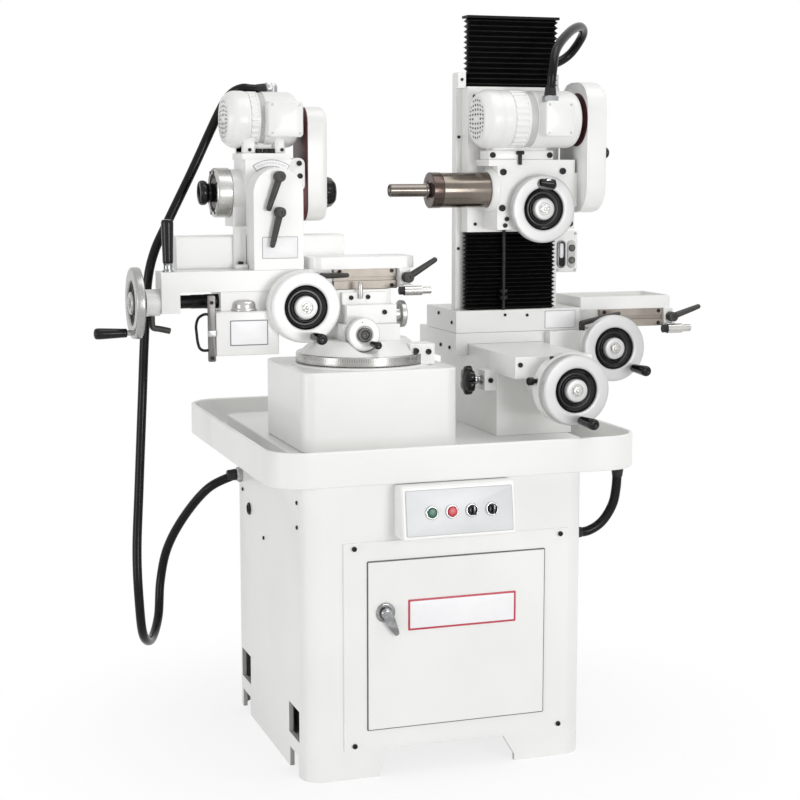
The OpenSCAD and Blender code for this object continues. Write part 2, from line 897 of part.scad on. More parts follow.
module chip_tray() {
    color("white")
        union() {
            difference() {
                rounded(tray_x, tray_y, tray_z, tray_r);
                rounded(
                    [tray_x[0] + tray_wall, tray_x[1] - tray_wall],
                    [tray_y[0] + tray_wall, tray_y[1] - tray_wall],
                    [tray_z[0] + tray_floor, tray_z[1] + cut], tray_r - tray_wall
                );
            }
            rounded(deck_x, deck_y, [tray_z[0] + tray_floor - cut, deck_z], deck_r);
        }
}

module left_pedestal() {
    color("white")
        difference() {
            rounded(lped_x, lped_y, lped_z, lped_r);
            rod_z([lped_z[1] - pivot_h - cut, lped_z[1] + cut], [turn_x, turn_y], pivot_r + fit);
        }
}

module right_pedestal() {
    color("white")
        difference() {
            union() {
                span(rped_x, rped_y, rped_z);
                span(rped_x, rcross_y, rcross_z);
                rod_y([drum_y, drum_y + drum_t], [cwheel_at[0], cwheel_at[2]], drum_r);
                rod_y([drum_y, rped_y[0] + cut], [cwheel_at[0], cwheel_at[2]], drum_neck_r);
                span([rped_x[0] - lock_block_w, rped_x[0] + cut], lock_block_y, lock_block_z);
            }
            rod_y([drum_y - cut, drum_y + stub_l + cut], [cwheel_at[0], cwheel_at[2]], wheel_shaft_r + fit);
            rod_x([clock_x - cut, clock_x + stub_l + cut], clock_at, dial_shaft_r + fit);
        }
}

module cross_lock() {
    color("black") {
        rod_x([clock_x - clock_l, clock_x + stub_l], clock_at, dial_shaft_r);
        rod_x([clock_x - clock_l - clock_h, clock_x - clock_l + cut], clock_at, clock_r - dial_shaft_r);
        for (i = [0:clock_lobes - 1])
            translate([0, clock_at[0], clock_at[1]])
                rotate([i * 360 / clock_lobes, 0, 0])
                    rod_x(
                        [clock_x - clock_l - clock_h, clock_x - clock_l],
                        [clock_r - dial_shaft_r, 0], dial_shaft_r
                    );
    }
}

module cable_glands() {
    color("silver") {
        rod_x([lgland_at[0] - gland_h, lgland_at[0]], [lgland_at[1], lgland_at[2]], gland_r);
        rod_x([rgland_at[0], rgland_at[0] + gland_h], [rgland_at[1], rgland_at[2]], gland_r);
        rod_z([tray_z[0] - gland_h, tray_z[0]], drain_at, gland_r);
    }
}

module left_cable() {
    color("black")
        cord(left_route, cable_r, [-1, 0, 0], [1, 0, 0]);
}

module drain_hose() {
    color("black")
        cord(drain_route, cable_r, [0, 0, -1], [-1, 0, 0]);
}

module turntable() {
    color("white") {
        rod_z([lped_z[1] - pivot_h, turn_z + cut], [turn_x, turn_y], pivot_r);
        rod_z([turn_z, ring_z[1]], [turn_x, turn_y], disc_r);
        difference() {
            translate([turn_x, turn_y, swivel_z[0]])
                cylinder(h = swivel_h, r1 = swivel_r[0], r2 = swivel_r[1]);
            rod_y([turn_y - turn_r, cross_y[0]], [dial_at[0], dial_at[2]], dial_r + scallop);
        }
        difference() {
            span(index_lug_x, index_lug_y, index_lug_z);
            rod_z([turn_z - cut, ring_z[1]], [turn_x, turn_y], turn_r + gap);
        }
        rod_y(
            [index_lug_y[0] - screw_h, index_lug_y[0] + cut],
            [index_lug_x[0] + 2 * lug_screw_r, index_lug_z[1] - 3 * lug_screw_r], lug_screw_r
        );
        difference() {
            span(cross_x, cross_y, [cross_z[0] - cut, cross_z[1]]);
            rod_y(
                [cross_y[0] - cut, cross_y[0] + stub_l + cut], [dial_at[0], dial_at[2]],
                dial_shaft_r + fit
            );
        }
    }
}

module degree_ring() {
    color("silver")
        difference() {
            rod_z([ring_z[0], ring_z[1]], [turn_x, turn_y], turn_r);
            rod_z([ring_z[0] - cut, ring_z[1] + cut], [turn_x, turn_y], disc_r);
        }
}

module cross_dial() {
    color("silver")
        translate(dial_at)
            rotate([90, 0, 0]) {
                cylinder(h = dial_h, r = dial_r);
                cylinder(h = dial_h + cap_t, r = dial_hub_r);
                translate([0, 0, -stub_l])
                    cylinder(h = stub_l + cut, r = dial_shaft_r);
                rotate([0, 0, -50])
                    translate([dial_crank, 0, dial_h - cut])
                        crank_grip(dial_grip_r, dial_grip_l);
            }
}

module left_saddle() {
    color("white")
        difference() {
            union() {
                span(lsad_x, lsad_y, lsad_z);
                span(block_x, [block_y, lsad_y[0] + cut], [lsad_z[0], lsad_z[0] + block_h]);
                span([arm_x, lsad_x[0] + cut], [beam_y[0] + 2, lsad_y[1]], [arm_z, lsad_z[1]]);
                span(
                    dog_plate_x, [lsad_y[0] - dog_plate_t, lsad_y[0] + cut],
                    [lsad_z[0] + block_h - cut, lsad_z[1] - dog_pin_r]
                );
            }
            rod_y(
                [lsad_y[0] - cut, lsad_y[0] + stub_l + cut], [lwheel_at[0], lwheel_at[2]],
                wheel_shaft_r + fit
            );
            rod_x([arm_x - cut, bore_end], feed_at, screw_shaft_r + gap);
            rod_x(
                [lsad_x[1] - stub_l - cut, lsad_x[1] + cut], [side_at[1], side_at[2]],
                dial_shaft_r + fit
            );
        }
}

module index_box() {
    color("white") {
        span(index_x, index_y, index_z);
        span(
            [index_x[0] - strip_w, index_x[0]], [index_y[0], index_y[0] + strip_t],
            [index_z[0] - strip_h[0], index_z[1] + strip_h[1]]
        );
        rod_z([index_z[1] - cut, index_z[1] + cap_h], [index_x[0] + cap_x, index_y[0] + cap_r], cap_r);
    }
}

module side_dial() {
    color("silver") {
        rod_x([side_at[0] - stub_l - gap, side_at[0] + side_l], [side_at[1], side_at[2]], dial_shaft_r);
        rod_x([side_at[0], side_at[0] + side_l - side_h], [side_at[1], side_at[2]], dial_hub_r);
        rod_x([side_at[0] + side_l - side_h, side_at[0] + side_l], [side_at[1], side_at[2]], side_r);
    }
}

module left_table() {
    color("white") {
        span(beam_x, beam_y, beam_z);
        rounded(top_x, top_y, [beam_z[1], beam_z[1] + top_h], top_r);
        rounded_x(rear_x, rear_y, [beam_z[1] - cut, beam_z[1] + rear_h], cab_wall / 2);
        span([rail_x[1], rail_x[1] + end_w], end_y, [stop_z + stop_r / 2, beam_z[1]]);
        span([rail_x[1], rail_x[1] + end_w], [stop_y, end_y[0] + cut], end_foot_z);
    }
}

module left_rail() {
    color("darkgray") {
        slotted_rail(rail_x, [beam_y[0] - rail_t, beam_y[0]], beam_z);
        difference() {
            table_stop(rail_x[1] - stop_r, [stop_y, stop_z], stop_r);
            span([rail_x[1], rail_x[1] + end_w], [stop_y, end_y[1]], [stop_z + stop_r / 2, beam_z[1]]);
        }
    }
}

module feed_bracket() {
    color("white")
        difference() {
            union() {
                span(feed_x, feed_y, [beam_z[0] - feed_drop, beam_z[1]]);
                rod_x([feed_x[0] - feed_boss_l, feed_x[0] + cut], feed_at, feed_boss_r);
            }
            rod_x([feed_x[0] - feed_boss_l - cut, feed_x[1] + cut], feed_at, screw_shaft_r + fit);
        }
}

module push_handle() {
    color("black")
        translate([(feed_x[0] + feed_x[1]) / 2, feed_y[0] + push_r + 14, beam_z[1]]) {
            cylinder(h = ferrule_h + cut, r = ferrule_r);
            translate([0, 0, ferrule_h])
                cylinder(h = push_l, r1 = push_r - 2, r2 = push_r);
        }
}

module left_wheel() {
    color("silver")
        translate(lwheel_at)
            rotate([90, 0, 0])
                handwheel(-78, false);
}

module feed_wheel() {
    color("silver") {
        translate([feed_x[0] - feed_boss_l - gap, feed_at[0], feed_at[1]])
            rotate([0, -90, 0])
                handwheel(180, false);
        rod_x([feed_x[0] - feed_boss_l - gap - cut, screw_end], feed_at, screw_shaft_r);
    }
}

module feed_lever() {
    color("black")
        translate([trip_at[0], trip_at[1], 0]) {
            rod_z(trip_z, [0, 0], trip_r);
            rod_x([0, trip_l], [0, trip_z[0] + trip_r], trip_r);
        }
}

module left_clamp_lever() {
    color("dimgray")
        translate(lock_at)
            rotate([90, 0, 0])
                rotate([0, 0, lock_lean[0] - 90])
                    clamp_lever(lever_l, 0);
}

module workhead_bracket() {
    color("white")
        difference() {
            union() {
                span([tilt_x - bracket_w / 2, tilt_x + bracket_w / 2], bracket_y, [beam_z[1], spindle_z]);
                rod_y(bracket_y, [tilt_x, spindle_z], bracket_w / 2);
            }
            for (z = tilt_lever_z)
                rod_y([bracket_y[0] - cut, bracket_y[0] + tilt_stud_l + cut], [tilt_x, z], tilt_stud_r + fit);
            rod_y(
                [bracket_y[1] - trunnion_l - cut, bracket_y[1] + cut], [tilt_x, spindle_z],
                trunnion_r + fit
            );
        }
}

module tilt_lever(i) {
    color("dimgray")
        translate([tilt_x, bracket_y[0] - gap, tilt_lever_z[i]])
            rotate([90, 0, 0]) {
                translate([0, 0, -tilt_stud_l])
                    cylinder(h = tilt_stud_l + cut, r = tilt_stud_r);
                rotate([0, 0, 180 - tilt_lever_lean[i]])
                    clamp_lever(lever_l, 0);
            }
}

module upper_tilt_lever() {
    tilt_lever(0);
}

module lower_tilt_lever() {
    tilt_lever(1);
}

module workhead_housing() {
    color("white")
        difference() {
            union() {
                rod_x(barrel_x, [spindle_y, spindle_z], barrel_r);
                span(house_x, [house_y, spindle_y + barrel_r], [spindle_z, house_top]);
                rod_y([house_y, spindle_y], [tilt_x, spindle_z], bracket_w / 2 - 2);
                rod_y([bracket_y[1] - trunnion_l, house_y + cut], [tilt_x, spindle_z], trunnion_r);
                span(plate_x, plate_y, [house_top - cut, plate_z[1]]);
                span(leg_x, leg_y, [leg_z, spindle_z]);
            }
            rod_x([barrel_x[0] - cut, barrel_x[1] + cut], [spindle_y, spindle_z], work_r + fit);
        }
}

module work_motor() {
    color("white")
        difference() {
            union() {
                rod_x([wmotor_x[0] + cowl_taper, wmotor_x[1]], [spindle_y, wmotor_z], wmotor_r);
                fan_cowl(wmotor_x[0], [spindle_y, wmotor_z], wmotor_r + cowl_grow);
                span(motor_foot_x, motor_foot_y, [plate_z[1], wmotor_z - wmotor_r / 2]);
                span(
                    box_x, [spindle_y - wmotor_r - box_d, spindle_y - wmotor_r / 2],
                    [wmotor_z - box_half, wmotor_z + box_half]
                );
                rod_z([wmotor_z, wgland_z + gland_r], wgland_at, gland_r);
                rod_x([wgland_x, wgland_at[0]], [wgland_at[1], wgland_z], gland_r - 2);
            }
            rod_x(
                [wmotor_x[1] - stub_l - cut, wmotor_x[1] + cut], [spindle_y, wmotor_z],
                motor_shaft_r + fit
            );
        }
}

module work_guard() {
    color("white")
        difference() {
            union() {
                belt_guard(wguard_x, [spindle_y - wguard_half, spindle_y + wguard_half], wguard_z, guard_r);
                difference() {
                    rounded_x(
                        [barrel_x[1], wguard_x[0]], [spindle_y - wguard_half, spindle_y + wguard_half],
                        wguard_z, guard_r
                    );
                    span(
                        [barrel_x[1] - cut, wguard_x[0] - thin],
                        [spindle_y - wguard_half - cut, spindle_y + wguard_half + cut],
                        [spindle_z + barrel_r, wguard_z[1] + cut]
                    );
                }
            }
            rod_x([barrel_x[1] - cut, wguard_x[1] + cut], [spindle_y, spindle_z], work_r + gap);
            rod_x([barrel_x[1] - cut, wguard_x[0] + cut], [spindle_y, wmotor_z], motor_shaft_r + gap);
        }
}

module work_spindle() {
    color("silver") {
        rod_x(
            [barrel_x[0] - gap - cut, wguard_x[1] + gap + cut], [spindle_y, spindle_z], work_r
        );
        rod_x([barrel_x[0] - gap - nose_ring_w, barrel_x[0] - gap], [spindle_y, spindle_z], nose_ring_r);
        rod_x(
            [barrel_x[0] - gap - nose_ring_w - draw_l, barrel_x[0] - gap - nose_ring_w + cut],
            [spindle_y, spindle_z], draw_r
        );
        rod_x([wguard_x[0] + gap * 4, wguard_x[0] + pulley_w], [spindle_y, spindle_z], work_pulley_r);
        rod_x([wguard_x[1] + gap, wguard_x[1] + gap + rear_knob_l], [spindle_y, spindle_z], rear_knob_r);
    }
}

module work_pulley() {
    color("gray") {
        rod_x([wmotor_x[1] - stub_l, wguard_x[0] + pulley_w], [spindle_y, wmotor_z], motor_shaft_r);
        rod_x([wguard_x[0] + gap * 4, wguard_x[0] + pulley_w], [spindle_y, wmotor_z], motor_pulley_r);
    }
}

module right_saddle() {
    color("white")
        difference() {
            union() {
                span(rsad_x, rsad_y, rsad_z);
                span([rsad_x[0], rped_x[0] - lip_gap], rsad_y, [rsad_z[0] - lip_h, rsad_z[0] + cut]);
                span([rped_x[1] + lip_gap, rsad_x[1]], rsad_y, [rsad_z[0] - lip_h, rsad_z[0] + cut]);
                span([apron_x[0] - cut, apron_x[1]], apron_y, [rsad_z[0] - lip_h, rsad_z[1]]);
                rod_y([twheel_at[1], apron_y[0] + cut], [twheel_at[0], twheel_at[2]], apron_r);
            }
            rod_y(
                [twheel_at[1] - cut, twheel_at[1] + stub_l + cut], [twheel_at[0], twheel_at[2]],
                wheel_shaft_r + fit
            );
        }
}

module cross_wheel() {
    color("silver")
        translate(cwheel_at)
            rotate([90, 0, 0])
                handwheel(-84, false);
}

module table_wheel() {
    color("silver")
        translate([twheel_at[0], twheel_at[1] - gap, twheel_at[2]])
            rotate([90, 0, 0])
                handwheel(-46, false);
}

module right_table() {
    color("white") {
        span(slab_x, slab_y, slab_z);
        span([wing_x[0] - cut, wing_x[1]], wing_y, wing_z);
        span([wing_x[1], wing_x[1] + rend_w], rend_y, [rstop_at[1] + rstop_r / 2, wing_z[1]]);
        span([wing_x[1], wing_x[1] + rend_w], [rstop_at[0], rend_y[0] + cut], rend_foot_z);
    }
}

module right_rail() {
    color("darkgray") {
        slotted_rail(rrail_x, [slab_y[0], wing_y[0]], wing_z);
        difference() {
            table_stop(wing_x[1] - rstop_r, rstop_at, rstop_r);
            span(
                [wing_x[1], wing_x[1] + rend_w], [rstop_at[0], rend_y[1]],
                [rstop_at[1] + rstop_r / 2, wing_z[1]]
            );
        }
    }
}

module right_clamp_lever() {
    color("dimgray")
        translate(rlock_at)
            rotate([90, 0, 0])
                rotate([0, 0, lock_lean[1] - 90])
                    clamp_lever(lever_l, 0);
}

module guard_tray() {
    color("white")
        difference() {
            span(gtray_x, gtray_y, gtray_z);
            span(
                [gtray_x[0] + thin, gtray_x[1] - thin], [gtray_y[0] + thin, gtray_y[1] - thin],
                [gtray_z[0] + thin, gtray_z[1] + cut]
            );
        }
}

module column() {
    color("white") {
        span(col_x, [col_y[0], col_y[0] + col_t], col_z);
        span(back_x, [col_y[0], col_y[1]], col_z);
        span(post_x, post_y, [post_z[0] - cut, post_z[1]]);
        span(cover_x, [cover_y[0], col_y[0] + cut], [post_z[1], post_z[1] + cap_t]);
        span(post_x, post_y, [post_z[1] - cut, post_z[1] + cap_t]);
        span(lug_x, [col_y[0] - lug_d, col_y[0] + cut], [col_z[1] - lug_h, col_z[1]]);
        difference() {
            span([col_x[0] - flare_r, col_x[0] + cut], flare_y, [col_z[0], col_z[0] + flare_r]);
            rod_y([flare_y[0] - cut, flare_y[1] + cut], [col_x[0] - flare_r, col_z[0] + flare_r], flare_r);
        }
        rod_x([cgland_at[0], cgland_at[0] + gland_h], [cgland_at[1], cgland_at[2]], gland_r);
    }
}

module socket_box() {
    color("white")
        span([col_x[1], col_x[1] + socket_w], socket_y, socket_z);
}

module stop_rod() {
    color("silver") {
        rod_z([slab_z[1], rod_top], rod_at, rod_r);
        for (z = collar_z)
            rod_z([z, z + collar_h], rod_at, collar_r);
    }
}

module lower_bellows() {
    color("black")
        way_cover(low_z);
}

module upper_bellows() {
    color("black")
        way_cover(high_z);
}

module head_casting() {
    color("white")
        difference() {
            union() {
                span([cover_x[0], cover_x[1]], slide_y, slide_z);
                span(head_x, [head_y[0], head_y[1] + cut], head_z);
                span(
                    [gfoot_x[0], head_x[1]], [head_y[0], head_y[1] + cut],
                    [head_z[1] - cut, head_z[1] + plate_t]
                );
            }
            rod_x([head_x[0] - cut, head_x[1] + cut], [quill_y, quill_z], shank_r);
            rod_z([head_z[0] - cut, head_z[1] + plate_t + cut], rod_at, rod_r + gap);
            rod_y(
                [head_y[0] - cut, head_y[0] + stub_l + cut], [hwheel_at[0], hwheel_at[2]],
                wheel_shaft_r + fit
            );
        }
}

module spindle_barrel() {
    color("silver")
        difference() {
            union() {
                rod_x([quill_x, head_x[0]], [quill_y, quill_z], quill_r);
                rod_x([head_x[0] - cut, head_x[1]], [quill_y, quill_z], shank_r);
                rod_x([quill_x, quill_x + quill_cap_l], [quill_y, quill_z], quill_cap_r);
            }
            rod_x([quill_x - cut, head_x[1] + cut], [quill_y, quill_z], nose_r + fit);
        }
}

module grinding_spindle() {
    color("silver") {
        rod_x([nose_x, gguard_x[0] + pulley_w], [quill_y, quill_z], nose_r);
        rod_x([quill_x - gap - step_l, quill_x - gap], [quill_y, quill_z], step_r);
        rod_x([gguard_x[0] + gap * 4, gguard_x[0] + pulley_w], [quill_y, quill_z], gpulley_r);
    }
}

module head_motor() {
    color("white")
        difference() {
            union() {
                rod_x([gmotor_x[0] + cowl_taper, gmotor_x[1]], [gmotor_y, gmotor_z], gmotor_r);
                fan_cowl(gmotor_x[0], [gmotor_y, gmotor_z], gmotor_r + cowl_grow);
                span(gfoot_x, gfoot_y, [head_z[1] + plate_t, gmotor_z - gmotor_r / 2]);
                span(
                    gbox_x, [gmotor_y - gmotor_r - box_d, gmotor_y - gmotor_r / 2],
                    [gmotor_z - box_half, gmotor_z + box_half]
                );
                rod_z([ggland_z[0] - cut, ggland_z[1]], ggland_at, gland_r);
            }
            rod_x(
                [gmotor_x[1] - stub_l - cut, gmotor_x[1] + cut], [gmotor_y, gmotor_z],
                motor_shaft_r + fit
            );
        }
}

module head_pulley() {
    color("gray") {
        rod_x([gmotor_x[1] - stub_l, gguard_x[0] + pulley_w], [gmotor_y, gmotor_z], motor_shaft_r);
        rod_x([gguard_x[0] + gap * 4, gguard_x[0] + pulley_w], [gmotor_y, gmotor_z], gmotor_pulley_r);
    }
}

module head_guard() {
    color("white")
        difference() {
            union() {
                belt_guard(gguard_x, gguard_y, gguard_z, gguard_r);
                rounded_x([gguard_x[0] - gplate_t, gguard_x[0]], gguard_y, gguard_z, gguard_r);
                span(
                    [head_x[1], gguard_x[0] - gplate_t + cut], [head_y[0], head_y[1]],
                    [quill_z - quill_r, quill_z + quill_r]
                );
            }
            rod_x([head_x[1] - cut, gguard_x[0] + cut], [quill_y, quill_z], nose_r + gap);
            rod_x([head_x[1] - cut, gguard_x[0] + cut], [gmotor_y, gmotor_z], motor_shaft_r + gap);
        }
}

module head_wheel() {
    color("silver")
        translate(hwheel_at)
            rotate([90, 0, 0])
                handwheel(84, true);
}

module head_cable() {
    color("black")
        cord(head_route, cable_r, [0, 0, 1], [-1, 0, 0]);
}

cabinet();
levelling_screws();
door_frame();
control_box();
control_fascia();
chip_tray();
left_pedestal();
right_pedestal();
cross_lock();
cable_glands();
left_cable();
drain_hose();
door_panel();
door_handle();
start_button();
stop_button();
work_selector();
wheel_selector();
turntable();
degree_ring();
cross_dial();
left_saddle();
index_box();
side_dial();
left_table();
left_rail();
feed_bracket();
push_handle();
left_wheel();
feed_wheel();
feed_lever();
left_clamp_lever();
workhead_bracket();
upper_tilt_lever();
lower_tilt_lever();
workhead_housing();
work_motor();
work_guard();
work_spindle();
work_pulley();
right_saddle();
cross_wheel();
right_table();
right_rail();
table_wheel();
right_clamp_lever();
guard_tray();
column();
socket_box();
stop_rod();
lower_bellows();
upper_bellows();
head_casting();
spindle_barrel();
grinding_spindle();
head_motor();
head_pulley();
head_guard();
head_wheel();
head_cable();
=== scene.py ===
# Tool and cutter grinder: a work station and a wheel station side by side on one cabinet.
import json
import math

import bmesh
import bpy
import numpy as np
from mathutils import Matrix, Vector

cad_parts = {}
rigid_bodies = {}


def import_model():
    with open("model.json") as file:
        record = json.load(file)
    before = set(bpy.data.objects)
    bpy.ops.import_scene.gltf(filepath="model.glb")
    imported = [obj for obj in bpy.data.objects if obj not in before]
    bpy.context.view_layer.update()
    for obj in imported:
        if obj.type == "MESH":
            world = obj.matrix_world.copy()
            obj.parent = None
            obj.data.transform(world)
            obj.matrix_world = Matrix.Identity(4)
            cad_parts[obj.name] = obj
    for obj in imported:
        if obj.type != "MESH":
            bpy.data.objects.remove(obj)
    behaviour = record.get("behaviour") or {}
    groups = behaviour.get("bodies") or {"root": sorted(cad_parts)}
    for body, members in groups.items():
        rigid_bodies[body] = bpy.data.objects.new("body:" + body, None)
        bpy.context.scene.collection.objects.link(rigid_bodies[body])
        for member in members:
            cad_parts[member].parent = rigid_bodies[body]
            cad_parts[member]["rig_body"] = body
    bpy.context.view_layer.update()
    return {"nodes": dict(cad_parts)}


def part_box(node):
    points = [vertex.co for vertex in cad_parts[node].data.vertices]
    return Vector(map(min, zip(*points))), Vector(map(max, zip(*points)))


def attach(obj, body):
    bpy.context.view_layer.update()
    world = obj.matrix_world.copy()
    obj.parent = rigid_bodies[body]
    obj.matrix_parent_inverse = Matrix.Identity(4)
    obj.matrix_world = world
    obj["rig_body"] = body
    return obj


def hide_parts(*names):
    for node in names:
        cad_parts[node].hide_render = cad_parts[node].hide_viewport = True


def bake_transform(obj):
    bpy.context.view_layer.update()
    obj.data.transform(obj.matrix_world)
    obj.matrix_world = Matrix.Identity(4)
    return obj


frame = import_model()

# Studio. The camera stands a little left of the machine, just above its tables. Three wide soft lamps and
# a pale room light it, and it stands on a plain white floor that keeps a faint shadow.
scene = bpy.context.scene
scene.view_settings.view_transform = "Standard"

SENSOR = 36.0
FOCAL_PIXELS = 1697.37
FRAME_PIXELS = 800
CAMERA_PLACE = (-1.2641, -3.7150, 1.3339)
LOOK_DOWN, LOOK_RIGHT = 7.96, 18.71
lens = bpy.data.cameras.new("camera")
lens.sensor_width = SENSOR
lens.lens = SENSOR * FOCAL_PIXELS / FRAME_PIXELS
camera = bpy.data.objects.new("camera", lens)
camera.location = CAMERA_PLACE
camera.rotation_euler = (math.radians(90 - LOOK_DOWN), 0.0, math.radians(-LOOK_RIGHT))
scene.collection.objects.link(camera)
scene.camera = camera


def lamp(name, place, target, size, watts):
    """A square soft lamp that points from its place at its target."""
    light = bpy.data.lights.new(name, "AREA")
    light.size = size
    light.energy = watts
    holder = bpy.data.objects.new(name, light)
    holder.location = place
    way = np.array(target, float) - np.array(place, float)
    flat = math.hypot(way[0], way[1])
    holder.rotation_euler = (math.atan2(flat, -way[2]), 0.0, math.atan2(-way[0], way[1]))
    scene.collection.objects.link(holder)


lamp("front_lamp", (1.2, -4.4, 1.2), (0.2, 0.0, 0.9), 1.4, 54)
lamp("left_lamp", (-5.2, -1.8, 1.2), (0.0, 0.0, 0.7), 2.2, 60)
lamp("top_lamp", (1.2, -0.7, 4.2), (0.2, 0.0, 0.8), 2.4, 42)


def fill(tree, node, **values):
    """Sets a node's inputs to numbers or to other nodes' outputs. An underscore stands for a space."""
    for name, value in values.items():
        socket = node.inputs[name.replace("_", " ")]
        if isinstance(value, bpy.types.NodeSocket):
            tree.links.new(value, socket)
        else:
            socket.default_value = value
    return node


def add(tree, kind, **values):
    """A new node of a kind, with its inputs set."""
    return fill(tree, tree.nodes.new(kind), **values)


def reckon(tree, operation, *values):
    """One arithmetic node. A value is a number or another node's output."""
    node = tree.nodes.new("ShaderNodeMath")
    node.operation = operation
    for socket, value in zip(node.inputs, values):
        if isinstance(value, (int, float)):
            socket.default_value = value
        else:
            tree.links.new(value, socket)
    return node.outputs[0]


def seen_directly(tree, share):
    """The share of a white glow for rays from the camera, a mirror or a glass, and none for the rest."""
    path = tree.nodes.new("ShaderNodeLightPath")
    straight = reckon(tree, "MAXIMUM", path.outputs["Is Camera Ray"], path.outputs["Is Glossy Ray"])
    straight = reckon(tree, "MAXIMUM", straight, path.outputs["Is Transmission Ray"])
    return reckon(tree, "MULTIPLY", straight, share)


ROOM_LIGHT = 0.48
room = bpy.data.worlds.new("room")
room.use_nodes = True
scene.world = room
lift = seen_directly(room.node_tree, 1.0 - ROOM_LIGHT)
fill(room.node_tree, room.node_tree.nodes["Background"], Color=(1.0, 1.0, 1.0, 1.0),
     Strength=reckon(room.node_tree, "ADD", lift, ROOM_LIGHT))

# The floor glows the more, the further it is from the machine, and so runs into the room without an edge.
FLOOR_HALF = 14.0
FLOOR_GLOW = (0.80, 1.0)
GLOW_REACH = (0.30, 1.05)
FLOOR_CORNERS = ((-1, -1), (1, -1), (1, 1), (-1, 1))
ground = bpy.data.meshes.new("floor")
ground.from_pydata([(x * FLOOR_HALF, y * FLOOR_HALF, 0.0) for x, y in FLOOR_CORNERS], [], [(0, 1, 2, 3)])
floor_paint = bpy.data.materials.new("floor_paint")
floor_paint.use_nodes = True
tree = floor_paint.node_tree
matt = fill(tree, tree.nodes["Principled BSDF"], Base_Color=(0.93, 0.93, 0.93, 1.0), Roughness=0.9)
away = add(tree, "ShaderNodeVectorMath", Vector=add(tree, "ShaderNodeTexCoord").outputs["Object"])
away.operation = "LENGTH"
fade = add(tree, "ShaderNodeMapRange", Value=away.outputs["Value"], From_Min=GLOW_REACH[0],
           From_Max=GLOW_REACH[1], To_Min=FLOOR_GLOW[0], To_Max=FLOOR_GLOW[1])
fade.interpolation_type = "SMOOTHSTEP"
glow = add(tree, "ShaderNodeEmission")
both = add(tree, "ShaderNodeMixShader", Fac=seen_directly(tree, fade.outputs["Result"]))
tree.links.new(matt.outputs["BSDF"], both.inputs[1])
tree.links.new(glow.outputs["Emission"], both.inputs[2])
fill(tree, tree.nodes["Material Output"], Surface=both.outputs["Shader"])
ground.materials.append(floor_paint)
floor = bpy.data.objects.new("floor", ground)
scene.collection.objects.link(floor)

# Cables and hose. The workhead motor's cable hangs in a long bight to the cabinet's side, the grinding
# motor's loops back into the column, and a short hose drains the tray. All are black rubber.

# From here on sizes and places are in millimetres. The frame's are in metres.
MM = 0.001
MERGE = 1e-6


def metres(point):
    """A point of the machine in the frame's unit."""
    return tuple((np.array(point, float) * MM).tolist())


def shade(red, green, blue):
    """A display colour of 0 to 255 as linear light: the sRGB curve undone."""
    value = np.array([red, green, blue]) / 255.0
    linear = np.where(value <= 0.04045, value / 12.92, ((value + 0.055) / 1.055) ** 2.4)
    return (*linear.tolist(), 1.0)


def finish(name, shades, rough, patch, grain, relief=0.0, metal=0.0, stretch=(1, 1, 1), gloss=0.0,
           shine=0.5):
    """A surface finish. Its colour drifts between two shades in soft patches, a fine grain moves its
    roughness between two values and stands up by the relief, and stretch pulls the grain out along an axis.
    Gloss is a clear coat's share, and shine how much a bare surface mirrors."""
    look = bpy.data.materials.new(name)
    look.use_nodes = True
    tree = look.node_tree
    where = add(tree, "ShaderNodeTexCoord").outputs["Object"]
    drift = add(tree, "ShaderNodeTexNoise", Vector=where, Scale=patch, Detail=4.0)
    ramp = add(tree, "ShaderNodeValToRGB", Fac=drift.outputs["Fac"])
    for stop, place, colour in zip(ramp.color_ramp.elements, (0.32, 0.68), shades):
        stop.position = place
        stop.color = shade(*colour)
    pull = add(tree, "ShaderNodeMapping", Vector=where, Scale=stretch)
    noise = add(tree, "ShaderNodeTexNoise", Vector=pull.outputs["Vector"], Scale=grain, Detail=3.0)
    fine = noise.outputs["Fac"]
    spread = add(tree, "ShaderNodeMapRange", Value=fine, From_Min=0.3, From_Max=0.7,
                 To_Min=rough[0], To_Max=rough[1])
    bump = add(tree, "ShaderNodeBump", Height=fine, Strength=relief, Distance=0.0006)
    fill(tree, tree.nodes["Principled BSDF"], Base_Color=ramp.outputs["Color"], Metallic=metal,
         Roughness=spread.outputs["Result"], Normal=bump.outputs["Normal"], Specular_IOR_Level=shine,
         Coat_Weight=gloss, Coat_Roughness=0.12)
    return look


def closed(name, mesh, crease=38.0):
    """A piece from a mesh: meeting points merged, faces turned outwards, edges past the crease kept
    sharp."""
    work = bmesh.new()
    work.from_mesh(mesh)
    bmesh.ops.remove_doubles(work, verts=work.verts, dist=MERGE)
    bmesh.ops.recalc_face_normals(work, faces=work.faces)
    work.to_mesh(mesh)
    work.free()
    mesh.shade_smooth()
    mesh.set_sharp_from_angle(angle=math.radians(crease))
    piece = bpy.data.objects.new(name, mesh)
    scene.collection.objects.link(piece)
    return piece


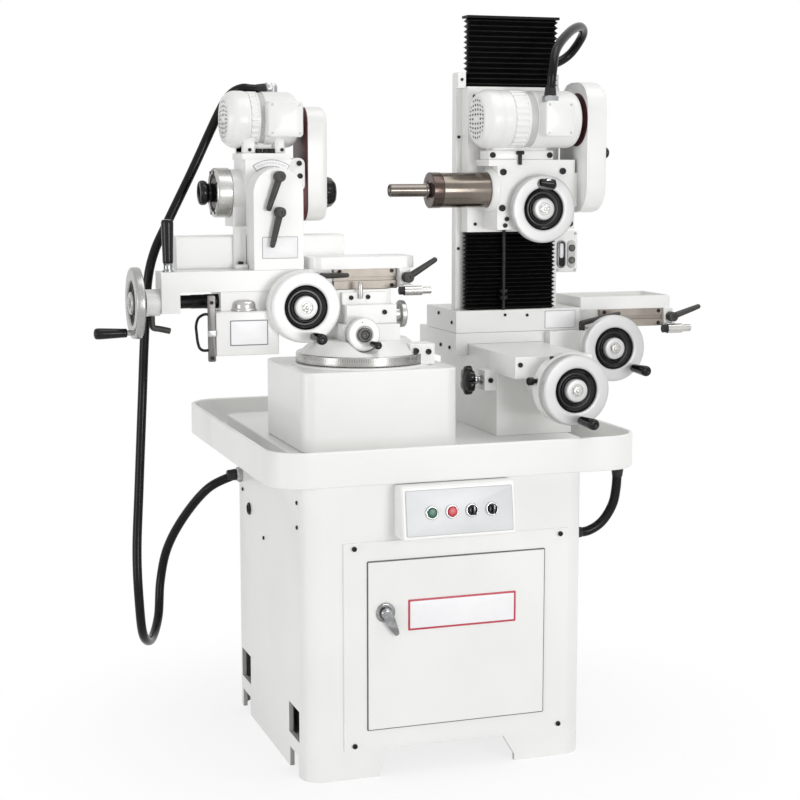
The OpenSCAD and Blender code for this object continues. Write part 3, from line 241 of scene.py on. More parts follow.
def shell(name, *skins, crease=38.0):
    """A piece from skins of (grid, finish) or (grid, finish, ends). A grid of points closes round its
    second parameter, and ends says which of its end rings a fan to their middle closes: "both", "first" or
    "last"."""
    points, faces, looks, numbers, count = [], [], [], [], 0
    for grid, look, *ends in skins:
        middles = grid.mean(axis=1, keepdims=True).repeat(grid.shape[1], axis=1)
        first = grid[:0] if ends in ([], ["last"]) else middles[:1]
        last = grid[:0] if ends in ([], ["first"]) else middles[-1:]
        grid = np.concatenate([first, grid, last])
        index = np.arange(grid.shape[0] * grid.shape[1]).reshape(grid.shape[:2]) + count
        beside = np.roll(index, -1, axis=1)
        quads = np.stack([index[:-1], beside[:-1], beside[1:], index[1:]], axis=-1).reshape(-1, 4)
        if look not in looks:
            looks.append(look)
        numbers.append(np.full(len(quads), looks.index(look)))
        points.append(grid.reshape(-1, 3) * MM)
        faces.append(quads)
        count += index.size
    mesh = bpy.data.meshes.new(name)
    mesh.from_pydata(np.concatenate(points).tolist(), [], np.concatenate(faces).tolist())
    for look in looks:
        mesh.materials.append(look)
    mesh.polygons.foreach_set("material_index", np.concatenate(numbers).astype(np.int32))
    return closed(name, mesh, crease)


def along(route, rings):
    """A smooth line through a route: each leg is the cubic whose slope at a point is half the step between
    the points on either side of it, taken at the given number of places."""
    p = np.array(route, float)
    p = np.vstack([p[:1], p, p[-1:]])
    a, b, c, d = p[:-3, None], p[1:-2, None], p[2:-1, None], p[3:, None]
    t = np.linspace(0.0, 1.0, rings, endpoint=False)[None, :, None]
    legs = b + t * ((c - a) + t * ((2 * a - 5 * b + 4 * c - d) + t * (3 * b - a - 3 * c + d))) / 2
    return np.vstack([legs.reshape(-1, 3), p[-1:]])


def tube(line, radius, side, sides=20):
    """Rings round a line, each square to it: the radius, one number or one for each ring, times a circle in
    the plane of the line's cross product with the side vector and of the cross product of the two."""
    way = np.gradient(line, axis=0)
    way /= np.linalg.norm(way, axis=1, keepdims=True)
    first = np.cross(way, np.array(side, float))
    first /= np.linalg.norm(first, axis=1, keepdims=True)
    second = np.cross(way, first)
    turn = np.linspace(0.0, 2 * np.pi, sides, endpoint=False)[None, :, None]
    circle = first[:, None] * np.cos(turn) + second[:, None] * np.sin(turn)
    return line[:, None] + np.broadcast_to(radius, len(line))[:, None, None] * circle


rubber = finish("cable_rubber", ((9, 9, 10), (15, 15, 16)), (0.16, 0.26), 40, 900, 0.08, shine=0.2)
CABLE_R = 11
RINGS = 8

left_route = [
    (-288, 184, 1502.2), (-308, 185, 1503), (-330, 190, 1504), (-352, 209, 1490), (-374, 238, 1448),
    (-440, 240, 1312), (-498, 242, 1197), (-532, 242, 1125), (-550, 238, 1050), (-560, 236, 920),
    (-568, 236, 780), (-587, 195, 580), (-602, 156, 430), (-601, 143, 309), (-588, 174, 227),
    (-556, 250, 193), (-524, 326, 227), (-511, 357, 309), (-494, 346, 394), (-456, 314, 478),
    (-404, 272, 552), (-341.5, 250, 585),
]
left_line = along(left_route, RINGS)
left_rings = tube(left_line, CABLE_R, (0, 1, 0))

# Each length is listed with the two bodies that one joint joins, and shares its end rings with its
# neighbours.
# Only the length without an upper body is set on a body, its lower one.
HELD = 2
left_lengths = [
    ("left_cable_head", 0, 5, "work_table", "workhead"),
    ("left_cable_table", 5, 7, "left_slide", "work_table"),
    ("left_cable_saddle", 7, 9, "swivel", "left_slide"),
    ("left_cable_fall", 9, 13, "base", "swivel"),
    ("left_cable_bight", 13, 21, "base", None),
]
for name, top, bottom, lower, upper in left_lengths:
    stretch = slice(top * RINGS, bottom * RINGS + 1)
    piece = shell(name, (left_rings[stretch], rubber, "both"))
    if upper:
        start, end = metres(left_route[bottom]), metres(left_route[max(top, HELD)])
        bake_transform(piece)
    else:
        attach(piece, lower)
    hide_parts("left_cable")

head_route = [
    (347, -44, 1498.8), (350, -48, 1545), (372, -18, 1595), (440, 58, 1642), (498, 125, 1660),
    (526, 172, 1644), (508, 206, 1600), (464, 206, 1575), (424, 202, 1573.8),
]
head_line = along(head_route, RINGS)
head_cable = shell("head_motor_cable", (tube(head_line, CABLE_R, (1, -1, 0)), rubber, "both"))
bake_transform(head_cable)
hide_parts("head_cable")

drain_route = [(448.5, -222, 638), (446, -222, 590), (438, -220, 550), (414, -217, 512), (380, -215, 492),
               (341.5, -215, 490)]
drain_line = along(drain_route, RINGS)
drain_hose = shell("drain_hose_run", (tube(drain_line, CABLE_R, (0, 1, 0)), rubber, "both"))
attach(drain_hose, "base")
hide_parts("drain_hose")


# Cable glands. Zinc-plated nuts on the cabinet, the tray, the column and the two motors, each with a
# tapered nylon sleeve that grips the cable.
def box(node):
    """The lowest and the highest corner of a solid."""
    return np.array(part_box(node)) / MM


def fit(piece, slot, instead=False):
    """Sets a piece on the body of the solid that its slot names, perhaps instead of that solid."""
    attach(piece, frame["nodes"][slot]["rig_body"])
    if instead:
        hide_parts(slot)
    return piece


def build(name, slot, *skins, instead=False):
    """A piece from skins, fitted to a solid."""
    return fit(shell(name, *skins), slot, instead)


def softened(outline, radius, steps=5):
    """A profile with its inner corners rounded: at each a quadratic curve from a place before it to one
    after it, the radius away and at most half way to the neighbours."""
    p = np.array(outline, float)
    before, corner, after = p[:-2], p[1:-1], p[2:]
    back = np.minimum(radius / np.maximum(np.linalg.norm(before - corner, axis=1), MERGE), 0.5)[:, None]
    ahead = np.minimum(radius / np.maximum(np.linalg.norm(after - corner, axis=1), MERGE), 0.5)[:, None]
    start, end = corner + (before - corner) * back, corner + (after - corner) * ahead
    t = np.linspace(0.0, 1.0, steps)[None, :, None]
    arcs = (1 - t) ** 2 * start[:, None] + 2 * t * (1 - t) * corner[:, None] + t ** 2 * end[:, None]
    return np.vstack([p[:1], arcs.reshape(-1, p.shape[1]), p[-1:]])


FRONT = ((1, 0, 0), (0, 0, 1), (0, -1, 0))
LEFT = ((0, 0, 1), (0, 1, 0), (-1, 0, 0))
RIGHT = ((0, 1, 0), (0, 0, 1), (1, 0, 0))
UP = ((1, 0, 0), (0, 1, 0), (0, 0, 1))
DOWN = ((0, 1, 0), (1, 0, 0), (0, 0, -1))
ORIGIN = (0, 0, 0)


def placed(grid, middle, facing):
    """Points set in a facing: the middle, plus each coordinate along one of the facing's three vectors."""
    return np.array(middle, float) + np.array(grid, float) @ np.array(facing, float)


def turned(profile, middle, facing, sides=64, form=None):
    """A profile of (radius, height) turned round an axis that stands on the middle. Where a point has a
    third number, its ring goes that far from a circle towards a form, which gives the relative radius at
    each angle."""
    profile = np.array(profile, float)
    turn = np.linspace(0.0, 2 * np.pi, sides, endpoint=False)
    reach = np.broadcast_to(profile[:, :1], (len(profile), sides))
    if form is not None:
        reach = reach * (1.0 + profile[:, 2:3] * (form(turn) - 1.0))
    height = np.broadcast_to(profile[:, 1:2], reach.shape)
    return placed(np.stack([reach * np.cos(turn), reach * np.sin(turn), height], axis=-1), middle, facing)


def hexagon(turn):
    """A hexagon's radius over that of its flats: one over the cosine of the angle from a flat's middle."""
    return 1.0 / np.cos((turn + np.pi / 6) % (np.pi / 3) - np.pi / 6)


gland_nylon = finish("gland_nylon", ((34, 34, 35), (44, 44, 45)), (0.4, 0.55), 30, 700, 0.1, shine=0.25)
zinc = finish("zinc_plate", ((160, 161, 163), (182, 183, 185)), (0.28, 0.42), 25, 300, 0.05, metal=0.9)
GLAND_NUT = [(0, -2, 0), (15.5, -2, 0), (15.5, 0, 1), (16.5, 1, 1), (16.5, 10.5, 1), (15, 13, 0),
             (12, 13.5, 0)]
GLAND_SLEEVE = softened([(13.5, 12.5), (14.2, 16), (11.6, 36), (0, 37)], 2)
SIDE = box("cabinet")[1][0]
TRAY_BOTTOM = box("chip_tray")[0][2]
glands = [
    ("cable_glands", (-SIDE, 250, 585), LEFT), ("cable_glands", (SIDE, -215, 490), RIGHT),
    ("cable_glands", (448.5, -222, TRAY_BOTTOM), DOWN), ("column", (410, 202, 1573.8), RIGHT),
    ("head_motor", (347, -44, 1474.8), UP), ("work_motor", (-262, 184, 1502.2), LEFT),
]
for number, (slot, place, facing) in enumerate(glands):
    nut = turned(GLAND_NUT, place, facing, 36, hexagon)
    sleeve = turned(GLAND_SLEEVE, place, facing, 36)
    build(f"gland_{number}", slot, (nut, zinc), (sleeve, gland_nylon, "first"),
          instead=slot == "cable_glands")

# Cabinet. Welded steel sheet with round corners, an arched toe opening and windows at the levelling screws,
# in white baked enamel with a slight orange peel. Black screws and a rubber plug close its spare holes.
enamel = finish("white_enamel", ((245, 245, 243), (239, 239, 237)), (0.28, 0.40), 3.5, 420, 0.05, gloss=0.2)


def cast(node, look, radius, crease=30.0):
    """A copy of a solid with its edges rounded over: meeting points merged, flat faces joined, and every
    edge past the crease angle given a three-step bevel of the radius."""
    source = frame["nodes"][node].data
    points = np.empty(len(source.vertices) * 3)
    source.vertices.foreach_get("co", points)
    corners = np.empty(len(source.loops), np.int32)
    source.loops.foreach_get("vertex_index", corners)
    mesh = bpy.data.meshes.new(node + "_finished")
    mesh.from_pydata(points.reshape(-1, 3).tolist(), [], corners.reshape(-1, 3).tolist())
    mesh.materials.append(look)
    work = bmesh.new()
    work.from_mesh(mesh)
    bmesh.ops.remove_doubles(work, verts=work.verts, dist=MERGE)
    bmesh.ops.dissolve_limit(work, angle_limit=math.radians(0.3), verts=work.verts, edges=work.edges)
    work.to_mesh(mesh)
    work.free()
    mesh.shade_smooth()
    mesh.set_sharp_from_angle(angle=math.radians(crease))
    piece = bpy.data.objects.new(node + "_finished", mesh)
    scene.collection.objects.link(piece)
    bevel = piece.modifiers.new("rounding", "BEVEL")
    bevel.width = radius * MM
    bevel.segments = 3
    bevel.limit_method = "ANGLE"
    bevel.angle_limit = math.radians(crease)
    bevel.use_clamp_overlap = True
    flats = piece.modifiers.new("flats", "WEIGHTED_NORMAL")
    flats.keep_sharp = False
    return fit(piece, node, instead=True)


def paint(piece, look, low, high, inward=False):
    """Gives faces whose middles lie in a box another finish, or only those that look to the upright
    axis."""
    mesh = piece.data
    if look.name not in mesh.materials:
        mesh.materials.append(look)
    middles, normals = np.empty((2, len(mesh.polygons) * 3))
    mesh.polygons.foreach_get("center", middles)
    mesh.polygons.foreach_get("normal", normals)
    numbers = np.empty(len(mesh.polygons), np.int32)
    mesh.polygons.foreach_get("material_index", numbers)
    middles, normals = middles.reshape(-1, 3) / MM, normals.reshape(-1, 3)
    inside = ((middles >= low) & (middles <= high)).all(axis=1)
    if inward:
        inside &= (middles[:, :2] * normals[:, :2]).sum(axis=1) < 0
    numbers[inside] = mesh.materials.find(look.name)
    mesh.polygons.foreach_set("material_index", numbers)


black_oxide = finish("black_oxide", ((30, 30, 31), (42, 42, 43)), (0.34, 0.5), 60, 500, 0.05, metal=0.3,
                     shine=0.3)
CAP_SCREW = np.array([(0, -0.8, 0), (1, -0.8, 0), (1, 0.5, 0), (0.97, 0.6, 0), (0.88, 0.68, 0),
                      (0.6, 0.68, 0), (0.5, 0.66, 1), (0.46, 0.58, 1), (0.46, 0.12, 1), (0, 0.06, 0)])


def screws(name, slot, radius, facing, depth, *places, look=black_oxide):
    """Socket screws on a face that lies at a depth along a facing: a head in units of its radius at each
    place, which is given by the facing's first two coordinates and perhaps by a depth of its own."""
    size = np.array([radius, radius, 1.0])
    seats = [placed((*place, depth)[:3], ORIGIN, facing) for place in places]
    heads = [(turned(CAP_SCREW * size, seat, facing, 24, hexagon), look) for seat in seats]
    return build(name, slot, *heads)


def ring_outline(low, high, corner, inset, steps=5):
    """A rounded rectangle drawn in by each inset: four quarter circles of the corner radius less the inset,
    about middles that stay where they are."""
    low, high = np.array(low, float), np.array(high, float)
    turn = (np.arange(4)[:, None] * np.pi / 2 + np.linspace(0.0, np.pi / 2, steps)).ravel()
    side = np.repeat([[1, 1], [-1, 1], [-1, -1], [1, -1]], steps, axis=0)
    middle = (low + high) / 2 + side * ((high - low) / 2 - corner)
    circle = np.stack([np.cos(turn), np.sin(turn)], axis=-1)
    return middle + (corner - np.array(inset))[:, None, None] * circle


def lofted(low, high, corner, inset, height, middle=ORIGIN, facing=UP):
    """Rings of a rounded rectangle set in a facing, one for each inset and height."""
    outline = ring_outline(low, high, corner, inset)
    rise = np.broadcast_to(np.array(height, float)[:, None, None], outline.shape[:2] + (1,))
    return placed(np.concatenate([outline, rise], axis=-1), middle, facing)


def slab(low, high, corner, edge, middle=ORIGIN, facing=UP):
    """A block from low to high in a facing, with corners of one radius, and with its ends drawn in along
    quarter circles of another."""
    turn = np.linspace(0.0, np.pi / 2, 4)
    inset, rise = edge * (1 - np.sin(turn)), edge * (1 - np.cos(turn))
    height = np.concatenate([low[2] + rise, high[2] - rise[::-1]])
    return lofted(low[:2], high[:2], corner, np.concatenate([inset, inset[::-1]]), height, middle, facing)


# Painted shade: the grey on the cabinet's inner faces, in its lower part and on its bottom pan darkens what
# the windows show, besides standing for bare primer inside.
primer_and_painted_shade = finish("grey_primer_and_painted_shade", ((196, 196, 194), (208, 208, 206)), (0.5, 0.65), 6, 300, 0.08)
cabinet = cast("cabinet", enamel, 4)
paint(cabinet, primer_and_painted_shade, (-326.8, -313.2, 0), (326.8, 313.2, 651.2), inward=True)
paint(cabinet, primer_and_painted_shade, (-326.8, -262, 0), (326.8, 262, 250))
build("cabinet_pan", "cabinet", (slab((-320, -308, 62), (320, 308, 65), 40, 1), primer_and_painted_shade, "both"))
cast("levelling_screws", zinc, 0.8)
screws("cabinet_screws", "cabinet", 4.5, LEFT, SIDE, (473, 33), (551, 236), (612, -262), (558, -262))
PLUG = softened([(0, 1), (9, 1), (10.5, 4), (13.5, 4.5), (15, 2), (15, -2), (0, -2)], 1)
build("cabinet_plug", "cabinet", (turned(PLUG, (-SIDE, 172, 515), LEFT, 40), rubber))

# Door. A folded sheet panel hung in a screwed-on frame, with a turn handle of polished chrome on a round
# rose, and a blank white plate with a red border.
plate_white = finish("plate_white", ((250, 250, 251), (245, 245, 247)), (0.3, 0.4), 20, 500, 0.02)
border_grey = finish("border_grey", ((112, 112, 116), (124, 124, 128)), (0.35, 0.5), 40, 500, 0.02)
border_red = finish("border_red", ((186, 52, 72), (196, 64, 82)), (0.3, 0.42), 40, 500, 0.02)


def blank_plate(name, slot, low, high, depth, border, width):
    """A thin blank plate on a front face at a depth: a slab in the colour of its border, and a white one on
    it that leaves the border free."""
    low, high = np.array(low), np.array(high)
    back = slab((*low, depth - 0.5), (*high, depth + 0.9), 2, 0.4, facing=FRONT)
    face = slab((*(low + width), depth), (*(high - width), depth + 1.2), 1.5, 0.3, facing=FRONT)
    return build(name, slot, (back, border, "both"), (face, plate_white, "both"))


chrome = finish("polished_chrome", ((126, 127, 128), (172, 173, 174)), (0.06, 0.15), 60, 260, 0.02,
                metal=1.0)
seal_rubber = finish("seal_rubber", ((96, 96, 97), (108, 108, 109)), (0.5, 0.65), 40, 700, 0.1, shine=0.3)
cast("door_frame", enamel, 1.2)
cast("door_panel", enamel, 1.5)
screws("frame_screws", "door_frame", 5.6, FRONT, 324.1, (-219, 78), (261, 78), (-219, 516), (261, 516))
SEAL_INSET = [0, 0, 2.4, 2.4, 0]
SEAL_DEPTH = [316, 321.2, 321.2, 316, 316]
seal = lofted((-189.7, 108.3), (225.7, 485.7), 3, SEAL_INSET, SEAL_DEPTH, facing=FRONT)
build("door_seal", "door_frame", (seal, seal_rubber))
blank_plate("door_plate", "door_panel", (-97, 326), (155, 395), 324, border_red, 4.5)

HANDLE = np.array([-149, -324.4, 371])
ROSE = softened([(14.2, 0.2), (22, 0.2), (22, 1.6), (19, 3), (14.2, 3.4), (14.2, 0.2)], 0.8)
build("handle_rose", "door_panel", (turned(ROSE, HANDLE, FRONT, 48), chrome))
HANDLE_HUB = softened([(0, -8.5), (5, -8.5), (5, 0), (13.5, 0), (13, 6), (12.5, 12), (8.5, 15.8),
                       (0, 16.2)], 2)
WING_LEAN = math.radians(26)
WING_FLATNESS = 0.58
WING_RISE = (0, -10.5, 0)
wing_reach = np.array([0, 10, 20, 30, 40, 48, 53, 55.5, 56])
wing_radius = np.array([11.8, 11.8, 11.2, 10, 8.5, 7, 5.6, 3.4, 0.4])
wing_line = HANDLE + WING_RISE + np.outer(wing_reach, (math.sin(WING_LEAN), 0, -math.cos(WING_LEAN)))
wing = tube(wing_line, wing_radius, (0, 1, 0), 28)
wing[..., 1] = wing_line[:, None, 1] + (wing[..., 1] - wing_line[:, None, 1]) * WING_FLATNESS
handle_hub = turned(HANDLE_HUB, HANDLE, FRONT, 48)
build("door_handle_turned", "door_handle", (handle_hub, chrome), (wing, chrome, "both"), instead=True)

# Control box. A sheet steel box with a sloping face and a brushed aluminium fascia. A green and a red push
# button and two black selector knobs sit in chromed bezels.
fascia_metal = finish("fascia_aluminium", ((206, 207, 208), (218, 219, 220)), (0.42, 0.54), 7, 240, 0.05,
                      metal=0.15, stretch=(1, 14, 14))
black_plastic = finish("black_plastic", ((10, 10, 11), (17, 17, 18)), (0.1, 0.18), 45, 520, 0.03,
                       shine=0.28)
trim_grey = finish("trim_grey", ((186, 186, 188), (196, 196, 198)), (0.35, 0.5), 40, 500, 0.02)
green_plastic = finish("green_plastic", ((16, 84, 62), (24, 98, 72)), (0.22, 0.34), 60, 520, 0.04)
red_plastic = finish("red_plastic", ((186, 44, 54), (198, 58, 64)), (0.22, 0.34), 60, 520, 0.04)
bezel_chrome = finish("bezel_chrome", ((198, 199, 200), (222, 223, 224)), (0.12, 0.2), 60, 260, 0.02,
                      metal=0.8)
cast("control_box", enamel, 5)
SLOPE_RUN, SLOPE_RISE = 16, 115
slope = math.atan2(SLOPE_RUN, SLOPE_RISE)
FACE = ((1, 0, 0), (0, math.sin(slope), math.cos(slope)), (0, -math.cos(slope), math.sin(slope)))
FACE_MIDDLE = (5, -368, 593.5)
BUTTON_PITCH = 46
BUTTON_X = 4 + BUTTON_PITCH * (np.arange(4) - 1.5)
BUTTON_SEAT = 4.6
BEZEL = softened([(11.3, 1), (15.5, 1), (15.5, 3.5), (14, 6.6), (11.8, 7), (11.3, 6), (11.3, 1)], 0.8)
BUTTON = softened([(0, 0), (10.8, 0), (10.8, 5.5), (9, 7.2), (0, 7.8)], 1.5)
border = slab((-122.5, -49.5, -0.5), (122.5, 49.5, 1.5), 3, 0.4, FACE_MIDDLE, FACE)
panel = slab((-121, -48, 0), (121, 48, 2), 2.5, 0.4, FACE_MIDDLE, FACE)
bezels = [turned(BEZEL, placed((x, 0, 0), FACE_MIDDLE, FACE), FACE, 48) for x in BUTTON_X]
build("fascia_panel", "control_fascia", (border, trim_grey, "both"), (panel, fascia_metal, "both"),
      *[(bezel, bezel_chrome) for bezel in bezels], instead=True)
buttons = (("start_button", green_plastic), ("stop_button", red_plastic))
for x, (node, look) in zip(BUTTON_X[:2], buttons):
    seat = placed((x, 0, BUTTON_SEAT), FACE_MIDDLE, FACE)
    build(node + "_cap", node, (turned(BUTTON, seat, FACE, 48), look), instead=True)
for x, node in zip(BUTTON_X[2:], ("work_selector", "wheel_selector")):
    seat = placed((x, 0, BUTTON_SEAT), FACE_MIDDLE, FACE)
    bar = slab((-3.5, -10, 4), (3.5, 10, 16), 2.5, 1.2, seat, FACE)
    line = slab((-0.9, 0.5, 15), (0.9, 8.8, 16.4), 0.6, 0.2, seat, FACE)
    build(node + "_knob", node, (turned(BUTTON, seat, FACE, 48), black_plastic),
          (bar, black_plastic, "both"), (line, plate_white, "both"), instead=True)

# Chip tray. A deep pressed tray with a raised deck in the middle, welded of sheet and enamelled. Both
# stations stand on it.
cast("chip_tray", enamel, 4)


# Left station: pedestal, turntable and cross base. Enamelled castings, with a bright ring graduated in
# degrees let in round the turntable, and a small graduated dial that feeds the cross slide.
def graduated(look, middle, facing, marks, share, low, high):
    """Adds engraved marks to a finish: dark where the angle round an axis, counted in marks, comes within
    the share of a whole number and the height along the axis lies between low and high."""
    tree = look.node_tree
    face = tree.nodes["Principled BSDF"]
    plain = face.inputs["Base Color"].links[0].from_socket
    where = add(tree, "ShaderNodeTexCoord").outputs["Object"]
    parts = []
    for way in facing:
        reach = add(tree, "ShaderNodeVectorMath", Vector=where)
        reach.operation = "DOT_PRODUCT"
        reach.inputs[1].default_value = way
        parts.append(reckon(tree, "SUBTRACT", reach.outputs["Value"], float(np.dot(middle, way)) * MM))
    turn = reckon(tree, "ARCTAN2", parts[1], parts[0])
    step = reckon(tree, "FRACT", reckon(tree, "MULTIPLY", turn, marks / (2 * math.pi)))
    away = reckon(tree, "ABSOLUTE", reckon(tree, "SUBTRACT", step, 0.5))
    mark = reckon(tree, "LESS_THAN", away, share / 2)
    mark = reckon(tree, "MULTIPLY", mark, reckon(tree, "GREATER_THAN", parts[2], low * MM))
    mark = reckon(tree, "MULTIPLY", mark, reckon(tree, "LESS_THAN", parts[2], high * MM))
    blend = add(tree, "ShaderNodeMixRGB", Fac=mark, Color1=plain, Color2=shade(104, 104, 105))
    fill(tree, face, Base_Color=blend.outputs["Color"])
    return look


cast("left_pedestal", enamel, 12)
cast("turntable", enamel, 3)
SWIVEL_AXIS = (-105, -14)
PLINTH = softened([(140, -1), (163, -1), (163, 2), (161.5, 3.5), (140, 3.5), (140, -1)], 1)
build("left_plinth", "left_pedestal", (turned(PLINTH, (*SWIVEL_AXIS, 880), UP, 144), enamel))
screws("lug_screws", "turntable", 6.6, FRONT, 122.2, (-9, 913.4), (22, 910.4, 118))
RING_MIDDLE = (*SWIVEL_AXIS, 884.4)
ring_steel = finish("ring_steel", ((160, 159, 156), (184, 183, 180)), (0.2, 0.32), 12, 320, 0.03, metal=0.9)
graduated(ring_steel, RING_MIDDLE, UP, 180, 0.18, 11, 19)
RING = softened([(132, 0.5), (149.5, 0.5), (150, 2), (150, 20), (148.5, 22), (132, 22), (132, 0.5)], 1.2)
build("degree_ring_turned", "degree_ring", (turned(RING, RING_MIDDLE, UP, 144), ring_steel), instead=True)

satin_steel = finish("satin_steel", ((176, 175, 172), (196, 195, 192)), (0.24, 0.36), 14, 320, 0.04,
                     metal=0.9)
dial_face = finish("dial_face", ((236, 236, 235), (228, 228, 227)), (0.26, 0.38), 14, 320, 0.03, metal=0.15)
dark_steel = finish("dark_steel", ((70, 69, 68), (88, 87, 85)), (0.3, 0.45), 30, 320, 0.05, metal=0.7)
dial_collar = finish("dial_collar", ((190, 188, 186), (204, 202, 200)), (0.26, 0.38), 14, 320, 0.03,
                     metal=0.7)
GRIP_R = 11
GRIP_NECK = softened([(0, -2), (6.2, -2), (6.2, 10.5), (0, 10.5)], 1)
GRIP = softened([(0, 10), (8, 10), (8.8, 13), (9, 22), (10, 45), (GRIP_R, 70), (10.9, 79), (8, 82.8),
                 (4.6, 83.4), (4, 81.5), (0, 81.5)], 3)
DIAL_MIDDLE = (-127, -86.4, 952.4)
graduated(dial_collar, DIAL_MIDDLE, FRONT, 50, 0.25, 1, 8)
COLLAR = softened([(0, 0), (37.5, 0), (38, 1), (38, 9.2), (35.2, 9.8), (35.2, 11.2), (33, 11.2)], 0.5)
DIAL = softened([(33, 11), (37.8, 11.2), (38, 13), (38, 20.5), (35.5, 24), (20.5, 24), (19, 22.8),
                 (0, 22.8)], 1.8)
DIAL_HUB = softened([(0, 20), (17, 20), (17, 28), (15.2, 30), (10.5, 30), (9.8, 27), (7.8, 27), (7.2, 29.2),
                     (4, 29.2), (3.6, 27), (0, 27)], 0.8)
SMALL_GRIP_SCALE, SMALL_NECK_SCALE = (8.5 / GRIP_R, 50 / 78.2), (0.8, 0.62)
SMALL_GRIP = GRIP * SMALL_GRIP_SCALE
SMALL_NECK = GRIP_NECK * SMALL_NECK_SCALE


def polar(reach, degrees, height):
    """A place round an axis: a reach at an angle, and a height along it."""
    return (reach * math.cos(math.radians(degrees)), reach * math.sin(math.radians(degrees)), height)


seat = placed(polar(26, -50, 24), DIAL_MIDDLE, FRONT)
dot = slab((-6, 27, 23), (-3, 30, 24.3), 1.4, 0.2, DIAL_MIDDLE, FRONT)
build(
    "cross_dial_turned", "cross_dial", (turned(COLLAR, DIAL_MIDDLE, FRONT, 96), dial_collar),
    (turned(DIAL, DIAL_MIDDLE, FRONT, 96), dial_face), (turned(DIAL_HUB, DIAL_MIDDLE, FRONT), dark_steel),
    (turned(SMALL_NECK, seat, FRONT, 24), satin_steel),
    (turned(SMALL_GRIP, seat, FRONT, 32), black_plastic), (dot, black_oxide, "both"), instead=True,
)

# Left saddle. An enamelled casting with a front block, a bolted dog plate with its pin, a bright feed dial
# at its right end, and a drum in front that carries the traverse handwheel and a small lever.
cast("left_saddle", enamel, 4)
screws("dog_plate_screws", "left_saddle", 5.2, FRONT, 32.1, (-134, 1030), (-94, 1031))
screws("front_block_screws", "left_saddle", 5.6, FRONT, 62.1, (-64, 998))
DOG_PIN = softened([(0, -2), (5.2, -2), (5.2, 30), (4, 34.5), (0, 35)], 1)
build("dog_pin", "left_saddle", (turned(DOG_PIN, (-113, -37.5, 1030), UP, 28), satin_steel))
WHEEL_SHAFT = 12


def wheel_hub(node):
    """Where a handwheel that faces forwards has its hub: in the middle of its solid's box, a shaft's length
    in front of the back."""
    low, high = box(node)
    return ((low[0] + high[0]) / 2, high[1] - WHEEL_SHAFT, (low[2] + high[2]) / 2)


DRUM = softened([(24, -0.5), (24, 8.5), (79, 8.5), (81.5, 6), (81.5, -19.2), (24, -19.2)], 4)
build("traverse_drum", "left_saddle", (turned(DRUM, wheel_hub("left_wheel"), FRONT, 96), enamel))
SIDE_DIAL = softened([(0, -12), (6, -12), (6, 0), (17, 0), (17, 13.5), (30, 14.2), (31, 15.5), (31, 24.5),
                      (29.5, 26), (21, 26), (19, 23.5), (10, 23.5), (9, 25.5), (0, 25.5)], 1)
side_dial = turned(SIDE_DIAL, (-34.6, -34, 990.8), RIGHT, 72)
build("side_dial_turned", "side_dial", (side_dial, satin_steel), instead=True)

lever_iron = finish("lever_iron", ((52, 51, 50), (66, 65, 63)), (0.36, 0.5), 30, 380, 0.1, metal=0.35)
LEVER_SIDE = (0.31, 0.87, 0.12)
LEVER_TIP = 0.01


def lever_arm(start, end, thick, thin, sides=24):
    """A tapered lever with a round end: circles along a line, from thick to thin, and over a half ball at
    its end that closes to a small tip."""
    start, end = np.array(start, float), np.array(end, float)
    shank = np.array([0.0, 0.25, 0.5, 0.75])
    swell = np.linspace(0.0, np.pi / 2, 6)
    reach = np.concatenate([shank, 1.0 - thin / np.linalg.norm(end - start) * (1 - np.sin(swell))])
    radius = np.concatenate([thick + (thin - thick) * shank, thin * np.cos(swell) + LEVER_TIP])
    return tube(start + np.outer(reach, end - start), radius, LEVER_SIDE, sides)


POST = softened([(0, -2), (7.5, -2), (7.5, 26), (6.5, 35), (4, 39), (0, 39.5)], 2)
drum_arm = lever_arm((-197, -11, 1079), (-136, -26, 1081), 6.8, 5.2)
build("drum_lever", "left_saddle", (turned(POST, (-197, -11, 1046.8), UP, 28), lever_iron),
      (drum_arm, lever_iron, "both"))

# Index box. A sheet box that hangs under the saddle's arm, with a bent steel strip on its end, a bright cap
# on top, a bordered blank plate and a thin looped lead.
strip_steel = finish("strip_steel", ((92, 91, 90), (118, 116, 114)), (0.26, 0.4), 20, 260, 0.05, metal=0.8,
                     stretch=(12, 12, 1))
CAP = softened([(0, -1), (29, -1), (29, 4), (26.2, 5.5), (26.2, 15), (22.5, 21.5), (12, 24.5), (0, 25)], 3)
build(
    "index_box_shell", "index_box", (slab((-445, -20, 905.8), (-300, 60, 1003.8), 4, 3), enamel, "both"),
    (slab((-463, 893.8, 15), (-445.2, 1041.8, 20), 4, 1.2, facing=FRONT), strip_steel, "both"),
    (slab((-463, 950, 19), (-445.2, 964, 22.5), 2, 1, facing=FRONT), zinc, "both"),
    (turned(CAP, (-373, 12, 1003.8), UP, 64), satin_steel), instead=True,
)
screws("strip_screws", "index_box", 4.2, FRONT, 20.2, (-454, 902), (-454, 1026))
blank_plate("index_plate", "index_box", (-413, 928), (-326, 985), 20, border_grey, 2.2)
LEAD_R = 3.2
lead_route = [
    (-462, -17.5, 1000), (-472, -18, 1000), (-484, -17.5, 992), (-489, -16.5, 976), (-488, -16, 958),
    (-486, -16, 940), (-482, -16.5, 926), (-474, -17.5, 920), (-462, -18, 920),
]
lead_line = along(lead_route, RINGS)
lead = shell("index_lead", (tube(lead_line, LEAD_R, (0, 1, 0), 12), rubber, "both"))
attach(lead, "left_slide")

